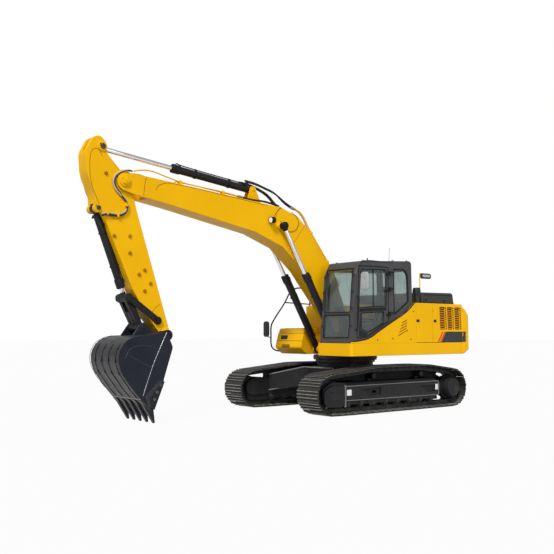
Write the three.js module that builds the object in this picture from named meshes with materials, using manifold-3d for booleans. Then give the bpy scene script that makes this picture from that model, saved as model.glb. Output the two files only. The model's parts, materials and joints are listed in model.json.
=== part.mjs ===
// Crawler excavator of the 22 tonne class, in its parked pose: boom raised, arm crowded in, bucket
// hanging open with its teeth just above the ground.
// Millimetres. x is forward, y is left, z is up. The pieces are laid out from the swing axis at
// ground level, and the whole machine is then shifted so that the origin is the middle of its
// footprint's bounding box, on the ground.
import * as THREE from 'three';
import { mergeVertices } from 'three/addons/utils/BufferGeometryUtils.js';
import { ConvexGeometry } from 'three/addons/geometries/ConvexGeometry.js';
import Module from 'manifold-3d';

const wasm = await Module();
wasm.setup();

// ---------------------------------------------------------------- driving dimensions
const GAP = 0.3;                 // between fixed pieces that rest on each other
const CLEAR = 8;                 // between pieces that move past each other
const PIN_CLEAR = 2;             // between a pin and its bore

const GAUGE = 2380;              // between the track centre lines
const SHOE_WIDTH = 600;
const SHOE_COUNT = 49;           // shoes in each chain
const SHOE_PLATE = 12;
const GROUSER = 20;              // ridge height on a shoe
const CHAIN_WIDTH = 190;
const CHAIN_INNER = 45;          // pin line to the rail that the rollers run on
const CHAIN_OUTER = 58;          // pin line to the underside of the shoes
const IDLER = { x: 1760, z: 402, pinRadius: 305 };
const SPROCKET = { x: -1840, z: 405, pinRadius: 315 };
const CARRIER_X = [420, -1000];
const CARRIER_RADIUS = 68;
const TOP_RUN_Z = 828;           // pin line over the carrier rollers
const ROLLER_COUNT = 8;
const ROLLER_SPAN = 1220;        // first and last lower roller from the middle
const GROUND_RUN = 1340;         // half the length of chain that lies on the ground
const ROLLER_RADIUS = 85;
const FRAME_HALF = 165;          // half width of a track frame
const BEARING_RADIUS = 690;
const BEARING_Z = [952, 1112];

const HALF_WIDTH = 1370;         // upper structure
const DECK_Z = [1112, 1363];
const DECK_FRONT = 1155;
const DECK_CENTRE_FRONT = 405;   // between the cab side and the tank side
const BODY_TOP = 2200;
const BODY_FRONT = -745;         // front of the engine bay
const BAY_REAR = -2285;          // face of the counterweight
const TAIL_RADIUS = 2850;
const PANEL = 34;                // thickness of a body door or panel

const CAB_FRONT = 1130;
const CAB_REAR = -700;
const CAB_ROOF = 3070;
const CAB_WALL = 66;
const GLASS = 8;
const DOOR_LEAF = 42;            // thickness of the cab door

const BOOM_FOOT = [235, 1800];   // pin centres as [x, z]
const ARM_PIVOT = [5450, 4200];
const ARM_HALF = 150;
const BOOM_EAR = 56;             // thickness of a nose ear
const BOOM_HALF = ARM_HALF + CLEAR + 1 + BOOM_EAR;
const BOOM_CYL = { foot: [500, 1222], eye: [1985, 3700], radius: 70, rod: 42, body: 1800, rodEnd: 900 };
const ARM_CYL = { foot: [2560, 4395], eye: [5858, 4758], radius: 72, rod: 45, body: 1840, rodEnd: 1280 };
const BUCKET_CYL = { foot: [5915, 3690], eye: [5322, 2178], radius: 62, rod: 40, body: 1440, rodEnd: 150 };
const BOOM_CYL_Y = BOOM_HALF + BOOM_CYL.radius + 45;
const CAB_Y = [BOOM_CYL_Y + 90, HALF_WIDTH - 40];
const EYE_HALF = 45;             // half width of a cylinder's eyes
const EYE_RADIUS = 76;
const NECK = 106;                // from a foot pin to the start of the barrel
const GLAND = 165;               // length of the collar at a barrel's mouth
const IDLER_LINK_PIN = [4745, 1785];
const BUCKET_PIVOT = [4570, 1530];
const BUCKET_EAR_PIN = [5065, 1665];
const BUCKET_HALF = 520;
const BUCKET_SIDE = 36;
const TOOTH_COUNT = 5;

// ---------------------------------------------------------------- paints and finishes
const finish = (color, roughness, metalness) =>
  new THREE.MeshStandardMaterial({ color, roughness, metalness });
const yellow = finish(0xf2b705, 0.38, 0.1);
const charcoal = finish(0x3b3d40, 0.5, 0.1);
const black = finish(0x1c1d1f, 0.55, 0.1);
const trackSteel = finish(0x3a3936, 0.6, 0.5);
const bucketSteel = finish(0x272b33, 0.5, 0.4);
const chrome = finish(0xd8dadc, 0.12, 1.0);
const tintedGlass = finish(0x6f8583, 0.08, 0.0);
const fabric = finish(0x2b2c2e, 0.9, 0.0);
const castIron = finish(0x55575a, 0.7, 0.6);

// ---------------------------------------------------------------- building blocks
function solid(geometry) {
  const bare = geometry.clone();
  bare.deleteAttribute('normal');
  bare.deleteAttribute('uv');
  const merged = mergeVertices(bare, 1e-3);
  return new wasm.Manifold(new wasm.Mesh({
    numProp: 3,
    vertProperties: new Float32Array(merged.attributes.position.array),
    triVerts: new Uint32Array(merged.index.array),
  }));
}

const join = (...solids) => solids.flat().reduce((sum, next) => sum.add(next));
const cut = (body, ...tools) => tools.flat().reduce((left, tool) => left.subtract(tool), body);

// The corners [u, v, radius] of an outline, with an arc in each corner that has a radius.
function rounded(corners) {
  const points = [];
  corners.forEach(([u, v, radius = 0], i) => {
    const corner = new THREE.Vector2(u, v);
    if (radius === 0) {
      points.push(corner);
      return;
    }
    const before = corners[(i + corners.length - 1) % corners.length];
    const after = corners[(i + 1) % corners.length];
    const back = new THREE.Vector2(before[0] - u, before[1] - v);
    const ahead = new THREE.Vector2(after[0] - u, after[1] - v);
    const room = 0.48 * Math.min(back.length(), ahead.length());
    back.normalize();
    ahead.normalize();
    const half = Math.acos(THREE.MathUtils.clamp(back.dot(ahead), -1, 1)) / 2;
    const run = Math.min(radius / Math.tan(half), room);
    const arc = run * Math.tan(half);
    const centre = back.clone().add(ahead).normalize().multiplyScalar(run / Math.cos(half)).add(corner);
    const start = back.multiplyScalar(run).add(corner).sub(centre).angle();
    const end = ahead.multiplyScalar(run).add(corner).sub(centre).angle();
    const turn = THREE.MathUtils.euclideanModulo(end - start + Math.PI, 2 * Math.PI) - Math.PI;
    const steps = Math.max(1, Math.round(Math.abs(turn) / (Math.PI / 7.5)));
    for (let k = 0; k <= steps; k += 1) {
      const angle = start + (turn * k) / steps;
      points.push(new THREE.Vector2(centre.x + arc * Math.cos(angle), centre.y + arc * Math.sin(angle)));
    }
  });
  return points;
}

function extruded(points, depth, hole) {
  const shape = new THREE.Shape(points);
  if (hole) shape.holes.push(new THREE.Path(hole));
  return new THREE.ExtrudeGeometry(shape, { depth, bevelEnabled: false, steps: 1 });
}

// An [x, z] outline between two y values.
function sideways(corners, [y0, y1], hole) {
  const geometry = extruded(rounded(corners), y1 - y0, hole && rounded(hole));
  return solid(geometry.rotateX(Math.PI / 2).translate(0, y1, 0));
}

// An [x, y] outline between two z values.
function upright(corners, [z0, z1]) {
  return solid(extruded(rounded(corners), z1 - z0).translate(0, 0, z0));
}

// A [y, z] outline between two x values.
function lengthways(corners, [x0, x1]) {
  const turn = new THREE.Matrix4().makeBasis(
    new THREE.Vector3(0, 1, 0), new THREE.Vector3(0, 0, 1), new THREE.Vector3(1, 0, 0));
  return solid(extruded(rounded(corners), x1 - x0).applyMatrix4(turn).translate(x0, 0, 0));
}

function box([x0, x1], [y0, y1], [z0, z1]) {
  const geometry = new THREE.BoxGeometry(x1 - x0, y1 - y0, z1 - z0);
  return solid(geometry.translate((x0 + x1) / 2, (y0 + y1) / 2, (z0 + z1) / 2));
}

// A round bar between two points.
function bar(from, to, radius, sides = 14) {
  const a = new THREE.Vector3(...from);
  const b = new THREE.Vector3(...to);
  const along = b.clone().sub(a);
  const geometry = new THREE.CylinderGeometry(radius, radius, along.length(), sides);
  const turn = new THREE.Quaternion().setFromUnitVectors(new THREE.Vector3(0, 1, 0), along.normalize());
  return solid(geometry.applyQuaternion(turn).translate(...a.add(b).multiplyScalar(0.5).toArray()));
}

// A round bar across the machine, at [x, z], between two y values.
const across = ([x, z], [y0, y1], radius, sides = 14) => bar([x, y0, z], [x, y1, z], radius, sides);

const hull = (points) => solid(new ConvexGeometry(points.map((p) => new THREE.Vector3(...p))));

const mirrored = (y0, y1, side) => (side > 0 ? [y0, y1] : [-y1, -y0]);

// A bent round tube through the given points.
function tube(route, radius, steps, sides = 7) {
  const path = new THREE.CatmullRomCurve3(route.map((p) => new THREE.Vector3(...p)), false, 'centripetal');
  const section = Array.from({ length: sides }, (_, k) => new THREE.Vector2(
    radius * Math.cos((2 * Math.PI * k) / sides), radius * Math.sin((2 * Math.PI * k) / sides)));
  return solid(new THREE.ExtrudeGeometry(new THREE.Shape(section), { steps, extrudePath: path }));
}

// ---------------------------------------------------------------- bodies and pieces
const machine = new THREE.Group();

// A group that turns about a pivot, held by another body.
function body(parent, pivot) {
  const group = new THREE.Group();
  group.userData.pivot = new THREE.Vector3(...pivot);
  const from = parent.userData.pivot ?? new THREE.Vector3();
  group.position.copy(group.userData.pivot).sub(from);
  parent.add(group);
  return group;
}

function piece(group, name, material, shape) {
  const { vertProperties, triVerts } = shape.getMesh();
  const geometry = new THREE.BufferGeometry();
  geometry.setAttribute('position', new THREE.BufferAttribute(new Float32Array(vertProperties), 3));
  geometry.setIndex(new THREE.BufferAttribute(new Uint32Array(triVerts), 1));
  const pivot = group.userData.pivot;
  geometry.translate(-pivot.x, -pivot.y, -pivot.z);
  geometry.computeVertexNormals();
  const mesh = new THREE.Mesh(geometry, material);
  mesh.name = name;
  group.add(mesh);
}

const pivotAt = ([x, z], y = 0) => [x, y, z];
const undercarriage = body(machine, [0, 0, 0]);
const upper = body(undercarriage, [0, 0, BEARING_Z[1]]);
const boom = body(upper, pivotAt(BOOM_FOOT));
const arm = body(boom, pivotAt(ARM_PIVOT));

// ---------------------------------------------------------------- tracks
const pitchCircles = [
  [IDLER.x, IDLER.z, IDLER.pinRadius],
  [SPROCKET.x, SPROCKET.z, SPROCKET.pinRadius],
  ...CARRIER_X.map((x) => [x, TOP_RUN_Z - CARRIER_RADIUS - CHAIN_INNER, CARRIER_RADIUS + CHAIN_INNER]),
  ...[-1, 1].map((end) => {
    const radius = ROLLER_RADIUS + CHAIN_INNER;
    return [end * GROUND_RUN, CHAIN_OUTER + SHOE_PLATE + GROUSER + radius, radius];
  }),
];

// The tight loop around all the circles, anticlockwise.
function loopAround(circles) {
  const points = circles.flatMap(([x, z, radius]) =>
    Array.from({ length: 72 }, (_, k) => new THREE.Vector2(
      x + radius * Math.cos((k * Math.PI) / 36), z + radius * Math.sin((k * Math.PI) / 36))));
  points.sort((a, b) => a.x - b.x || a.y - b.y);
  const turns = (o, a, b) => (a.x - o.x) * (b.y - o.y) - (a.y - o.y) * (b.x - o.x);
  const chain = (list) => {
    const kept = [];
    for (const point of list) {
      while (kept.length > 1 && turns(kept.at(-2), kept.at(-1), point) <= 0) kept.pop();
      kept.push(point);
    }
    return kept.slice(0, -1);
  };
  return [...chain(points), ...chain([...points].reverse())];
}

// Evenly spaced link pins along the loop.
function linkPins() {
  const loop = loopAround(pitchCircles);
  const curve = new THREE.CurvePath();
  loop.forEach((point, i) => curve.add(new THREE.LineCurve(point, loop[(i + 1) % loop.length])));
  return Array.from({ length: SHOE_COUNT }, (_, i) => curve.getPointAt(i / SHOE_COUNT));
}

const pins = linkPins();
const pinBefore = (i) => pins[(i + SHOE_COUNT - 1) % SHOE_COUNT];
const pinAfter = (i) => pins[(i + 1) % SHOE_COUNT];
const pitch = pins[0].distanceTo(pins[1]);

// The loop through the pins, moved outwards by a distance.
function pinLoop(distance) {
  return pins.map((pin, i) => {
    const along = pinAfter(i).clone().sub(pinBefore(i)).normalize();
    return [pin.x + along.y * distance, pin.y - along.x * distance];
  });
}

// The outside of the shoes: a flat plate on each link, with one ridge that stands for its grousers.
function shoeLoop() {
  return pins.flatMap((pin, i) => {
    const along = pinAfter(i).clone().sub(pin).normalize();
    const at = (share, out) => [
      pin.x + along.x * pitch * share + along.y * out,
      pin.y + along.y * pitch * share - along.x * out,
    ];
    const plate = CHAIN_OUTER + SHOE_PLATE;
    return [at(0.08, plate), at(0.35, plate + GROUSER), at(0.65, plate + GROUSER), at(0.92, plate)];
  });
}

const rimRadius = (pinRadius) => Math.sqrt(pinRadius ** 2 - (pitch / 2) ** 2) - CHAIN_INNER - 2;

function makeTrack(side) {
  const y = (side * GAUGE) / 2;
  const shoes = sideways(shoeLoop(), [y - SHOE_WIDTH / 2, y + SHOE_WIDTH / 2], pinLoop(CHAIN_OUTER - 1));
  const chain = sideways(
    pinLoop(CHAIN_OUTER + 1), [y - CHAIN_WIDTH / 2, y + CHAIN_WIDTH / 2], pinLoop(-CHAIN_INNER));
  return join(shoes, chain);
}

const YOKE_Y = [100, FRAME_HALF];
const LEG_X = [830, 1290];          // where the car body's legs meet the track frames

function makeTrackFrame(side) {
  const y = (side * GAUGE) / 2;
  const outwards = (a, b) => {
    const [p, q] = mirrored(a, b, side);
    return [y + p, y + q];
  };
  const both = (a, b) => [outwards(a, b), outwards(-b, -a)];
  const beam = lengthways(
    [[y - FRAME_HALF, 300], [y + FRAME_HALF, 300], [y + FRAME_HALF, 520], [y + FRAME_HALF - 60, 612],
      [y - FRAME_HALF + 60, 612], [y - FRAME_HALF, 520]], [-1400, 1300]);
  const skirts = both(FRAME_HALF - 24, FRAME_HALF).map((range) =>
    sideways([[-1400, 305], [1300, 305], [1300, 250], [1240, 190], [-1340, 190], [-1400, 250]], range));
  const yokes = both(...YOKE_Y).map((range) =>
    sideways([[1290, 280, 0], [1700, 262, 60], [1880, 300, 90], [1880, 520, 90], [1640, 640, 60], [1290, 612]],
      range));
  const rollers = Array.from({ length: ROLLER_COUNT }, (_, i) => {
    const x = ROLLER_SPAN * ((2 * i) / (ROLLER_COUNT - 1) - 1);
    const z = CHAIN_OUTER + SHOE_PLATE + GROUSER + CHAIN_INNER + ROLLER_RADIUS + 1;
    return across([x, z], [y - FRAME_HALF + 5, y + FRAME_HALF - 5], ROLLER_RADIUS, 12);
  });
  const carriers = CARRIER_X.flatMap((x) => {
    const z = TOP_RUN_Z - CHAIN_INNER - CARRIER_RADIUS - 4;
    return [
      across([x, z], [y - 80, y + 80], CARRIER_RADIUS - 10, 12),
      box([x - 45, x + 45], outwards(-110, -60), [600, z + 20]),
    ];
  });
  const guards = [-640, 560].flatMap((x) => both(FRAME_HALF - 26, FRAME_HALF + 8).map((range) =>
    sideways([[x - 190, 320], [x + 190, 320], [x + 90, 152], [x - 90, 152]], range)));
  const drivePlate = sideways(
    [[-1390, 300], [-1390, 612], [-1700, 640, 80], [-2040, 570, 120], [-2060, 270, 120], [-1700, 210, 80]],
    outwards(-FRAME_HALF, -110));
  const idlerAt = [IDLER.x, IDLER.z];
  const idler = [
    across(idlerAt, [y - 80, y + 80], rimRadius(IDLER.pinRadius), 28),
    across(idlerAt, [y - YOKE_Y[0] - 10, y + YOKE_Y[0] + 10], 90, 14),
  ];
  const landing = both(120, FRAME_HALF)[1];
  const pads = [-1, 1].map((end) => box(mirrored(...LEG_X, end), landing, [330, 640]));
  const motorGuard = sideways(
    [[-2010, 260, 60], [-2010, 560, 120], [-1700, 680, 60], [-560, 770, 40], [-300, 600], [-300, 560], [-1390, 330]],
    outwards(-FRAME_HALF, -FRAME_HALF + 22));
  return join(beam, skirts, yokes, idler, rollers, carriers, guards, drivePlate, pads, motorGuard);
}

function makeSprocket(side) {
  const y = (side * GAUGE) / 2;
  const at = [SPROCKET.x, SPROCKET.z];
  const teeth = 21;
  const tip = rimRadius(SPROCKET.pinRadius);
  const rim = Array.from({ length: teeth * 2 }, (_, k) => {
    const angle = (k * Math.PI) / teeth;
    const radius = k % 2 ? tip - 34 : tip;
    return [at[0] + radius * Math.cos(angle), at[1] + radius * Math.sin(angle)];
  });
  const outwards = (a, b) => mirrored(a, b, side).map((v) => y + v);
  return join(
    sideways(rim, [y - 38, y + 38]),
    across(at, outwards(-110 + GAP, 60), 175, 16),
    across(at, outwards(20, 190), 205, 20),
    across(at, outwards(180, 262), 168, 20),
    across(at, outwards(250, 276), 60, 12));
}

function makeCarBody() {
  const reach = GAUGE / 2 - FRAME_HALF - GAP;
  const legs = [-1, 1].flatMap((sx) => [-1, 1].map((sy) => hull([
    ...[120, 780].flatMap((x) => [480, 840].flatMap((z) => [[sx * x, sy * 330, z], [sx * x, sy * 460, z]])),
    ...LEG_X.flatMap((x) => [350, 680].map((z) => [sx * x, sy * reach, z])),
  ])));
  return join(
    box([-780, 780], [-470, 470], [480, 840]),
    legs,
    bar([0, 0, 700], [0, 0, BEARING_Z[0] - GAP], 600, 28));
}

function makeBearing() {
  const middle = (BEARING_Z[0] + BEARING_Z[1]) / 2;
  return join(
    bar([0, 0, BEARING_Z[0]], [0, 0, BEARING_Z[1] - CLEAR], BEARING_RADIUS - 50, 32),
    bar([0, 0, middle], [0, 0, BEARING_Z[1] - CLEAR], BEARING_RADIUS, 32));
}

piece(undercarriage, 'car_body', black, makeCarBody());
piece(undercarriage, 'swing_bearing', black, makeBearing());
for (const [hand, side] of [['left', 1], ['right', -1]]) {
  piece(undercarriage, `track_${hand}`, trackSteel, makeTrack(side));
  piece(undercarriage, `track_frame_${hand}`, black, makeTrackFrame(side));
  piece(undercarriage, `sprocket_${hand}`, black, makeSprocket(side));
}

// ---------------------------------------------------------------- cylinders
const at3 = ([x, z], y) => [x, y, z];

function axisOf({ foot, eye }) {
  const length = Math.hypot(eye[0] - foot[0], eye[1] - foot[1]);
  const way = [(eye[0] - foot[0]) / length, (eye[1] - foot[1]) / length];
  return { length, along: (distance) => [foot[0] + way[0] * distance, foot[1] + way[1] * distance] };
}

// A barrel with its foot eye and neck, a collar at the gland and the bore that the rod runs in.
function makeBarrel(cylinder, y, pinRadius) {
  const { along } = axisOf(cylinder);
  const outside = join(
    across(cylinder.foot, [y - EYE_HALF, y + EYE_HALF], EYE_RADIUS, 16),
    bar(at3(along(45), y), at3(along(NECK + 10), y), EYE_HALF - 1, 10),
    bar(at3(along(NECK), y), at3(along(cylinder.body), y), cylinder.radius, 16),
    bar(at3(along(cylinder.body - GLAND), y), at3(along(cylinder.body + 1), y), cylinder.radius + 14, 16));
  return cut(
    outside,
    across(cylinder.foot, [y - 2 * EYE_HALF, y + 2 * EYE_HALF], pinRadius + PIN_CLEAR, 12),
    bar(at3(along(NECK + 14), y), at3(along(cylinder.body + 20), y), cylinder.rod + 4, 12));
}

// A rod with its eye. The eye's pin is left out, because the linkage is opened there.
function makeRod(cylinder, y) {
  const { length, along } = axisOf(cylinder);
  return join(
    bar(at3(along(cylinder.rodEnd), y), at3(along(length - 20), y), cylinder.rod, 12),
    across(cylinder.eye, [y - EYE_HALF, y + EYE_HALF], EYE_RADIUS, 16));
}

// ---------------------------------------------------------------- revolving frame
const FOOT_PIN = 50;
const CYL_PIN = 38;
const BRACKET_Y = [BOOM_HALF + CLEAR, BOOM_HALF + CLEAR + 50];
const TANK_FRONT = -40;
const TANK_Y = [-HALF_WIDTH, -500];
const BOX_REAR = 60;
const PUMP_BAY_FRONT = -1345;

function clevis([x, z], y, radius, pinRadius, outline, thickness = 26) {
  const inner = EYE_HALF + CLEAR - 2;
  const plates = [[-inner - thickness, -inner], [inner, inner + thickness]].map(([a, b]) =>
    join(sideways(outline, [y + a, y + b]), across([x, z], [y + a, y + b], radius, 14)));
  return join(plates, across([x, z], [y - inner - thickness - 8, y + inner + thickness + 8], pinRadius, 12));
}

function makeDeck() {
  const plate = upright([
    [DECK_FRONT, CAB_Y[0]], [DECK_FRONT, HALF_WIDTH, 60], [BAY_REAR + GAP, HALF_WIDTH],
    [BAY_REAR + GAP, -HALF_WIDTH], [BOX_REAR, -HALF_WIDTH], [BOX_REAR, -CAB_Y[0]],
    [DECK_CENTRE_FRONT, -CAB_Y[0]], [DECK_CENTRE_FRONT, CAB_Y[0]],
  ], DECK_Z);
  const bracket = [[-430, 1350], [398, 1350], [398, 1960, 160], [80, 1960, 140]];
  const brackets = [1, -1].map((side) => sideways(bracket, mirrored(...BRACKET_Y, side)));
  const reach = BRACKET_Y[1] + 6;
  const ears = [1, -1].map((side) => clevis(
    BOOM_CYL.foot, side * BOOM_CYL_Y, 82, CYL_PIN,
    [[380, 1125], [520, 1140], [582, 1222], [520, 1290], [380, 1300]]));
  return join(
    plate, brackets, ears,
    box([-430, -130], [-BRACKET_Y[0] - 10, BRACKET_Y[0] + 10], [1350, 1640]),
    across(BOOM_FOOT, [-reach, reach], FOOT_PIN, 12));
}

function makeCounterweight() {
  const [top, bottom] = [BODY_TOP, 1118];
  const profile = [[0.1, bottom], [TAIL_RADIUS - 130, bottom], [TAIL_RADIUS, bottom + 90],
    [TAIL_RADIUS, top - 240], [TAIL_RADIUS - 90, top - 120], [TAIL_RADIUS - 260, top], [0.1, top]];
  const points = [[0, bottom], ...profile.slice(1, -1), [0, top]].map(([r, z]) => new THREE.Vector2(r, z));
  const tail = solid(new THREE.LatheGeometry(points, 80).rotateX(Math.PI / 2));
  return tail.intersect(box([-TAIL_RADIUS - 10, BAY_REAR], [-HALF_WIDTH, HALF_WIDTH], [bottom - 10, top + 10]));
}

// ---------------------------------------------------------------- engine bay
const HOOD_X = [-2270, -1160];
const HOOD_Y = [-860, 1150];
const HOOD_TOP = 2455;
const DOOR_Z = [DECK_Z[1] + CLEAR, BODY_TOP - CLEAR];
const LEFT_SPLIT = -1280;

function makeBayFrame() {
  const side = HALF_WIDTH - PANEL - GAP - 1;
  const z = [DECK_Z[1] + GAP, BODY_TOP];
  const top = upright([
    [BODY_FRONT, side], [BAY_REAR + GAP, side], [BAY_REAR + GAP, -side], [PUMP_BAY_FRONT - GAP, -side],
    [PUMP_BAY_FRONT - GAP, TANK_Y[1] + 5], [BODY_FRONT, TANK_Y[1] + 5]], [BODY_TOP - 34, BODY_TOP]);
  const opening = box([BAY_REAR + 60, HOOD_X[1] - 40], [HOOD_Y[0] + 40, HOOD_Y[1] - 40],
    [BODY_TOP - 60, BODY_TOP + 60]);
  return join(
    cut(top, opening),
    box([BODY_FRONT - 40, BODY_FRONT], [TANK_Y[1] + 5, side], z),
    box([LEFT_SPLIT - 20, LEFT_SPLIT + 20], [side - 110, side], z),
    box([PUMP_BAY_FRONT - 30, PUMP_BAY_FRONT - GAP], [-side, TANK_Y[1] + 5], z),
    box([PUMP_BAY_FRONT - 30, BODY_FRONT], [TANK_Y[1] + 5, TANK_Y[1] + 35], z));
}

function makeHood() {
  const outline = [[HOOD_X[1], BODY_TOP + CLEAR], [HOOD_X[1] - 12, HOOD_TOP - 14, 36],
    [HOOD_X[0] + 45, HOOD_TOP, 60], [HOOD_X[0], BODY_TOP + CLEAR]];
  const inside = [[HOOD_X[1] - 26, BODY_TOP], [HOOD_X[1] - 40, HOOD_TOP - 40],
    [HOOD_X[0] + 74, HOOD_TOP - 30], [HOOD_X[0] + 28, BODY_TOP]];
  return cut(sideways(outline, HOOD_Y), sideways(inside, [HOOD_Y[0] + 26, HOOD_Y[1] - 26]));
}

const LOUVRES = [[-1700, -1512], [-1950, -1768], [-2200, -2015]];

function makeLeftDoorRear() {
  const leaf = box([BAY_REAR + CLEAR, LEFT_SPLIT - 5], [HALF_WIDTH - PANEL, HALF_WIDTH], DOOR_Z);
  const openings = LOUVRES.map(([x0, x1]) => sideways(
    [[x0 - 10, 1640], [x1 - 10, 1640], [x1 + 10, 2128], [x0 + 10, 2128]],
    [HALF_WIDTH - 2 * PANEL, HALF_WIDTH + PANEL]));
  return cut(leaf, openings);
}

// ---------------------------------------------------------------- cab
const CAB_BASE = DECK_Z[1] + GAP;
const SWOOP = [[-742, 2215], [-480, 2015], [10, 1772], [380, 1592], [640, 1462], [920, 1405], [1105, 1392]];
const cabOutline = [[CAB_FRONT - 20, CAB_BASE], [985, 2740, 70], [835, 2998, 90],
  [CAB_REAR + 40, CAB_ROOF, 70], [CAB_REAR, CAB_BASE]];
const doorway = [[960, 1462, 60], [888, 2900, 50], [52, 2905, 30], [52, 1812, 24], [420, 1628, 100],
  [690, 1490, 100]];
const doorWindows = [
  [[905, 2065, 40], [838, 2828, 40], [112, 2856, 40], [108, 2112, 30]],
  [[838, 1640, 30], [822, 1965, 20], [192, 2000, 20], [192, 1768, 30], [620, 1582, 80]],
];
const rearQuarter = [[-112, 2880, 30], [-450, 2880, 60], [-540, 2760, 80], [-556, 2222, 60], [-118, 1935, 40]];
const rightWindow = [[930, 1560, 70], [850, 2825, 70], [-560, 2870, 70], [-600, 1560, 70]];
const FRONT_PANES = [[1478, 1925], [1978, 2842]];
const withinCab = (margin) => [CAB_Y[0] + margin, CAB_Y[1] - margin];
const FRONT_PANE_Y = withinCab(85);
const REAR_PANE = { y: withinCab(90), z: [2270, 2860] };
const HATCH = { x: [-330, 330], y: withinCab(140) };

// An anticlockwise or clockwise outline with each side moved inwards by a distance.
function inset(corners, distance) {
  const area = corners.reduce((sum, [u, v], i) => {
    const [p, q] = corners[(i + 1) % corners.length];
    return sum + u * q - p * v;
  }, 0);
  const way = Math.sign(area) * distance;
  const normal = ([u, v], [p, q]) => {
    const length = Math.hypot(p - u, q - v);
    return [-(q - v) / length, (p - u) / length];
  };
  return corners.map((corner, i) => {
    const before = normal(corners[(i + corners.length - 1) % corners.length], corner);
    const after = normal(corner, corners[(i + 1) % corners.length]);
    const scale = way / (1 + before[0] * after[0] + before[1] * after[1]);
    const radius = Math.max((corner[2] ?? 0) - distance, 0);
    return [corner[0] + (before[0] + after[0]) * scale, corner[1] + (before[1] + after[1]) * scale, radius];
  });
}

const [cabRight, cabLeft] = CAB_Y;
const throughLeft = [cabLeft - 2 * CAB_WALL, cabLeft + CAB_WALL];
const throughRight = [cabRight - CAB_WALL, cabRight + 2 * CAB_WALL];

function makeCabShell() {
  const outside = sideways(cabOutline, CAB_Y);
  const inside = sideways(inset(cabOutline, CAB_WALL), [cabRight + CAB_WALL, cabLeft - CAB_WALL]);
  return cut(
    outside, inside,
    sideways(doorway, throughLeft),
    sideways(rearQuarter, throughLeft),
    sideways(rightWindow, throughRight),
    FRONT_PANES.map((z) => box([870, CAB_FRONT + 40], FRONT_PANE_Y, z)),
    box([CAB_REAR - 60, CAB_REAR + 180], REAR_PANE.y, REAR_PANE.z),
    box(HATCH.x, HATCH.y, [CAB_ROOF - 200, CAB_ROOF + 40]));
}

// The thin layer that lies a little inside the cab's outline.
function cabLayer(depth, thickness) {
  const wide = [CAB_Y[0] - 50, CAB_Y[1] + 50];
  const reach = [CAB_Y[0] - 60, CAB_Y[1] + 60];
  return cut(sideways(inset(cabOutline, depth), wide), sideways(inset(cabOutline, depth + thickness), reach));
}

const shrink = ([a, b]) => [a + GAP, b - GAP];
const frontPane = (z) => cabLayer(18, GLASS).intersect(
  box([870, CAB_FRONT + 40], shrink(FRONT_PANE_Y), shrink(z)));
const rearPane = () => cabLayer(18, GLASS).intersect(
  box([CAB_REAR - 60, CAB_REAR + 180], shrink(REAR_PANE.y), shrink(REAR_PANE.z)));
const roofHatch = () => cabLayer(4, 30).intersect(
  box(shrink(HATCH.x), shrink(HATCH.y), [CAB_ROOF - 200, CAB_ROOF + 40]));
const sidePane = (window, y) => sideways(inset(window, GAP), [y, y + GLASS]);

function makeDoor() {
  const leaf = sideways(inset(doorway, CLEAR), [cabLeft - DOOR_LEAF, cabLeft]);
  return cut(leaf, doorWindows.map((window) => sideways(window, throughLeft)));
}

function makeSidePanel() {
  const outline = [...SWOOP, [DECK_FRONT - 10, CAB_BASE], [BODY_FRONT + 4, CAB_BASE]];
  const slots = Array.from({ length: 5 }, (_, i) => {
    const [x, z] = [-300 - i * 8, 1560 + i * 56];
    return sideways([[x - 150, z + 66], [x - 150, z + 42], [x + 110 - i * 22, z - 64 + i * 11],
      [x + 110 - i * 22, z - 40 + i * 11]], [cabLeft, HALF_WIDTH + 20]);
  });
  return cut(sideways(outline, [cabLeft + GAP, HALF_WIDTH]), slots);
}

function makeSeat() {
  const floor = CAB_BASE + CAB_WALL + GAP;
  const middle = (cabRight + cabLeft) / 2;
  const wide = (half) => [middle - half, middle + half];
  return join(
    box([-280, 180], wide(200), [floor, floor + 220]),
    sideways([[-300, floor + 210], [260, floor + 210, 30], [260, floor + 350, 50], [-300, floor + 330, 40]],
      wide(250)),
    sideways([[-330, floor + 300, 30], [-200, floor + 300, 30], [-330, floor + 960, 50],
      [-440, floor + 950, 50]], wide(235)),
    sideways([[-430, floor + 940, 20], [-350, floor + 940, 20], [-380, floor + 1140, 40],
      [-460, floor + 1130, 40]], wide(130)),
    [-1, 1].map((side) => join(
      sideways([[-330, floor + 180], [330, floor + 180, 40], [330, floor + 470, 50], [-330, floor + 430, 40]],
        mirrored(240, 360, side).map((y) => middle + y)),
      tube([[270, middle + side * 300, floor + 440], [300, middle + side * 300, floor + 640]], 20, 1))));
}

function makeTravelLevers() {
  const floor = CAB_BASE + CAB_WALL + GAP;
  const middle = (cabRight + cabLeft) / 2;
  return join(
    box([700, 960], [middle - 190, middle + 190], [floor, floor + 40]),
    [-1, 1].map((side) => tube([
      [820, middle + side * 80, floor + 30], [840, middle + side * 80, floor + 300],
      [760, middle + side * 110, floor + 560]], 14, 6)));
}

// ---------------------------------------------------------------- right side
const railY = TANK_Y[0] - 50;
const railRadius = 17;

const makeTank = ([x0, x1]) => upright(
  [[x0, TANK_Y[0], 40], [x1, TANK_Y[0], 90], [x1, TANK_Y[1], 50], [x0, TANK_Y[1], 20]],
  [DECK_Z[1] + GAP, BODY_TOP - 10]);

const boxOutline = [[BOX_REAR + GAP, DECK_Z[0]], [650, DECK_Z[0], 40], [835, 1250, 60], [748, 1560],
  [BOX_REAR + GAP, 1560]];

function makeToolBox() {
  const inner = [TANK_Y[0] + 30, TANK_Y[1] - 30];
  return cut(sideways(boxOutline, TANK_Y),
    sideways([[BOX_REAR + 40, 1300], [740, 1300, 20], [700, 1600], [BOX_REAR + 40, 1600]], inner));
}

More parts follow.
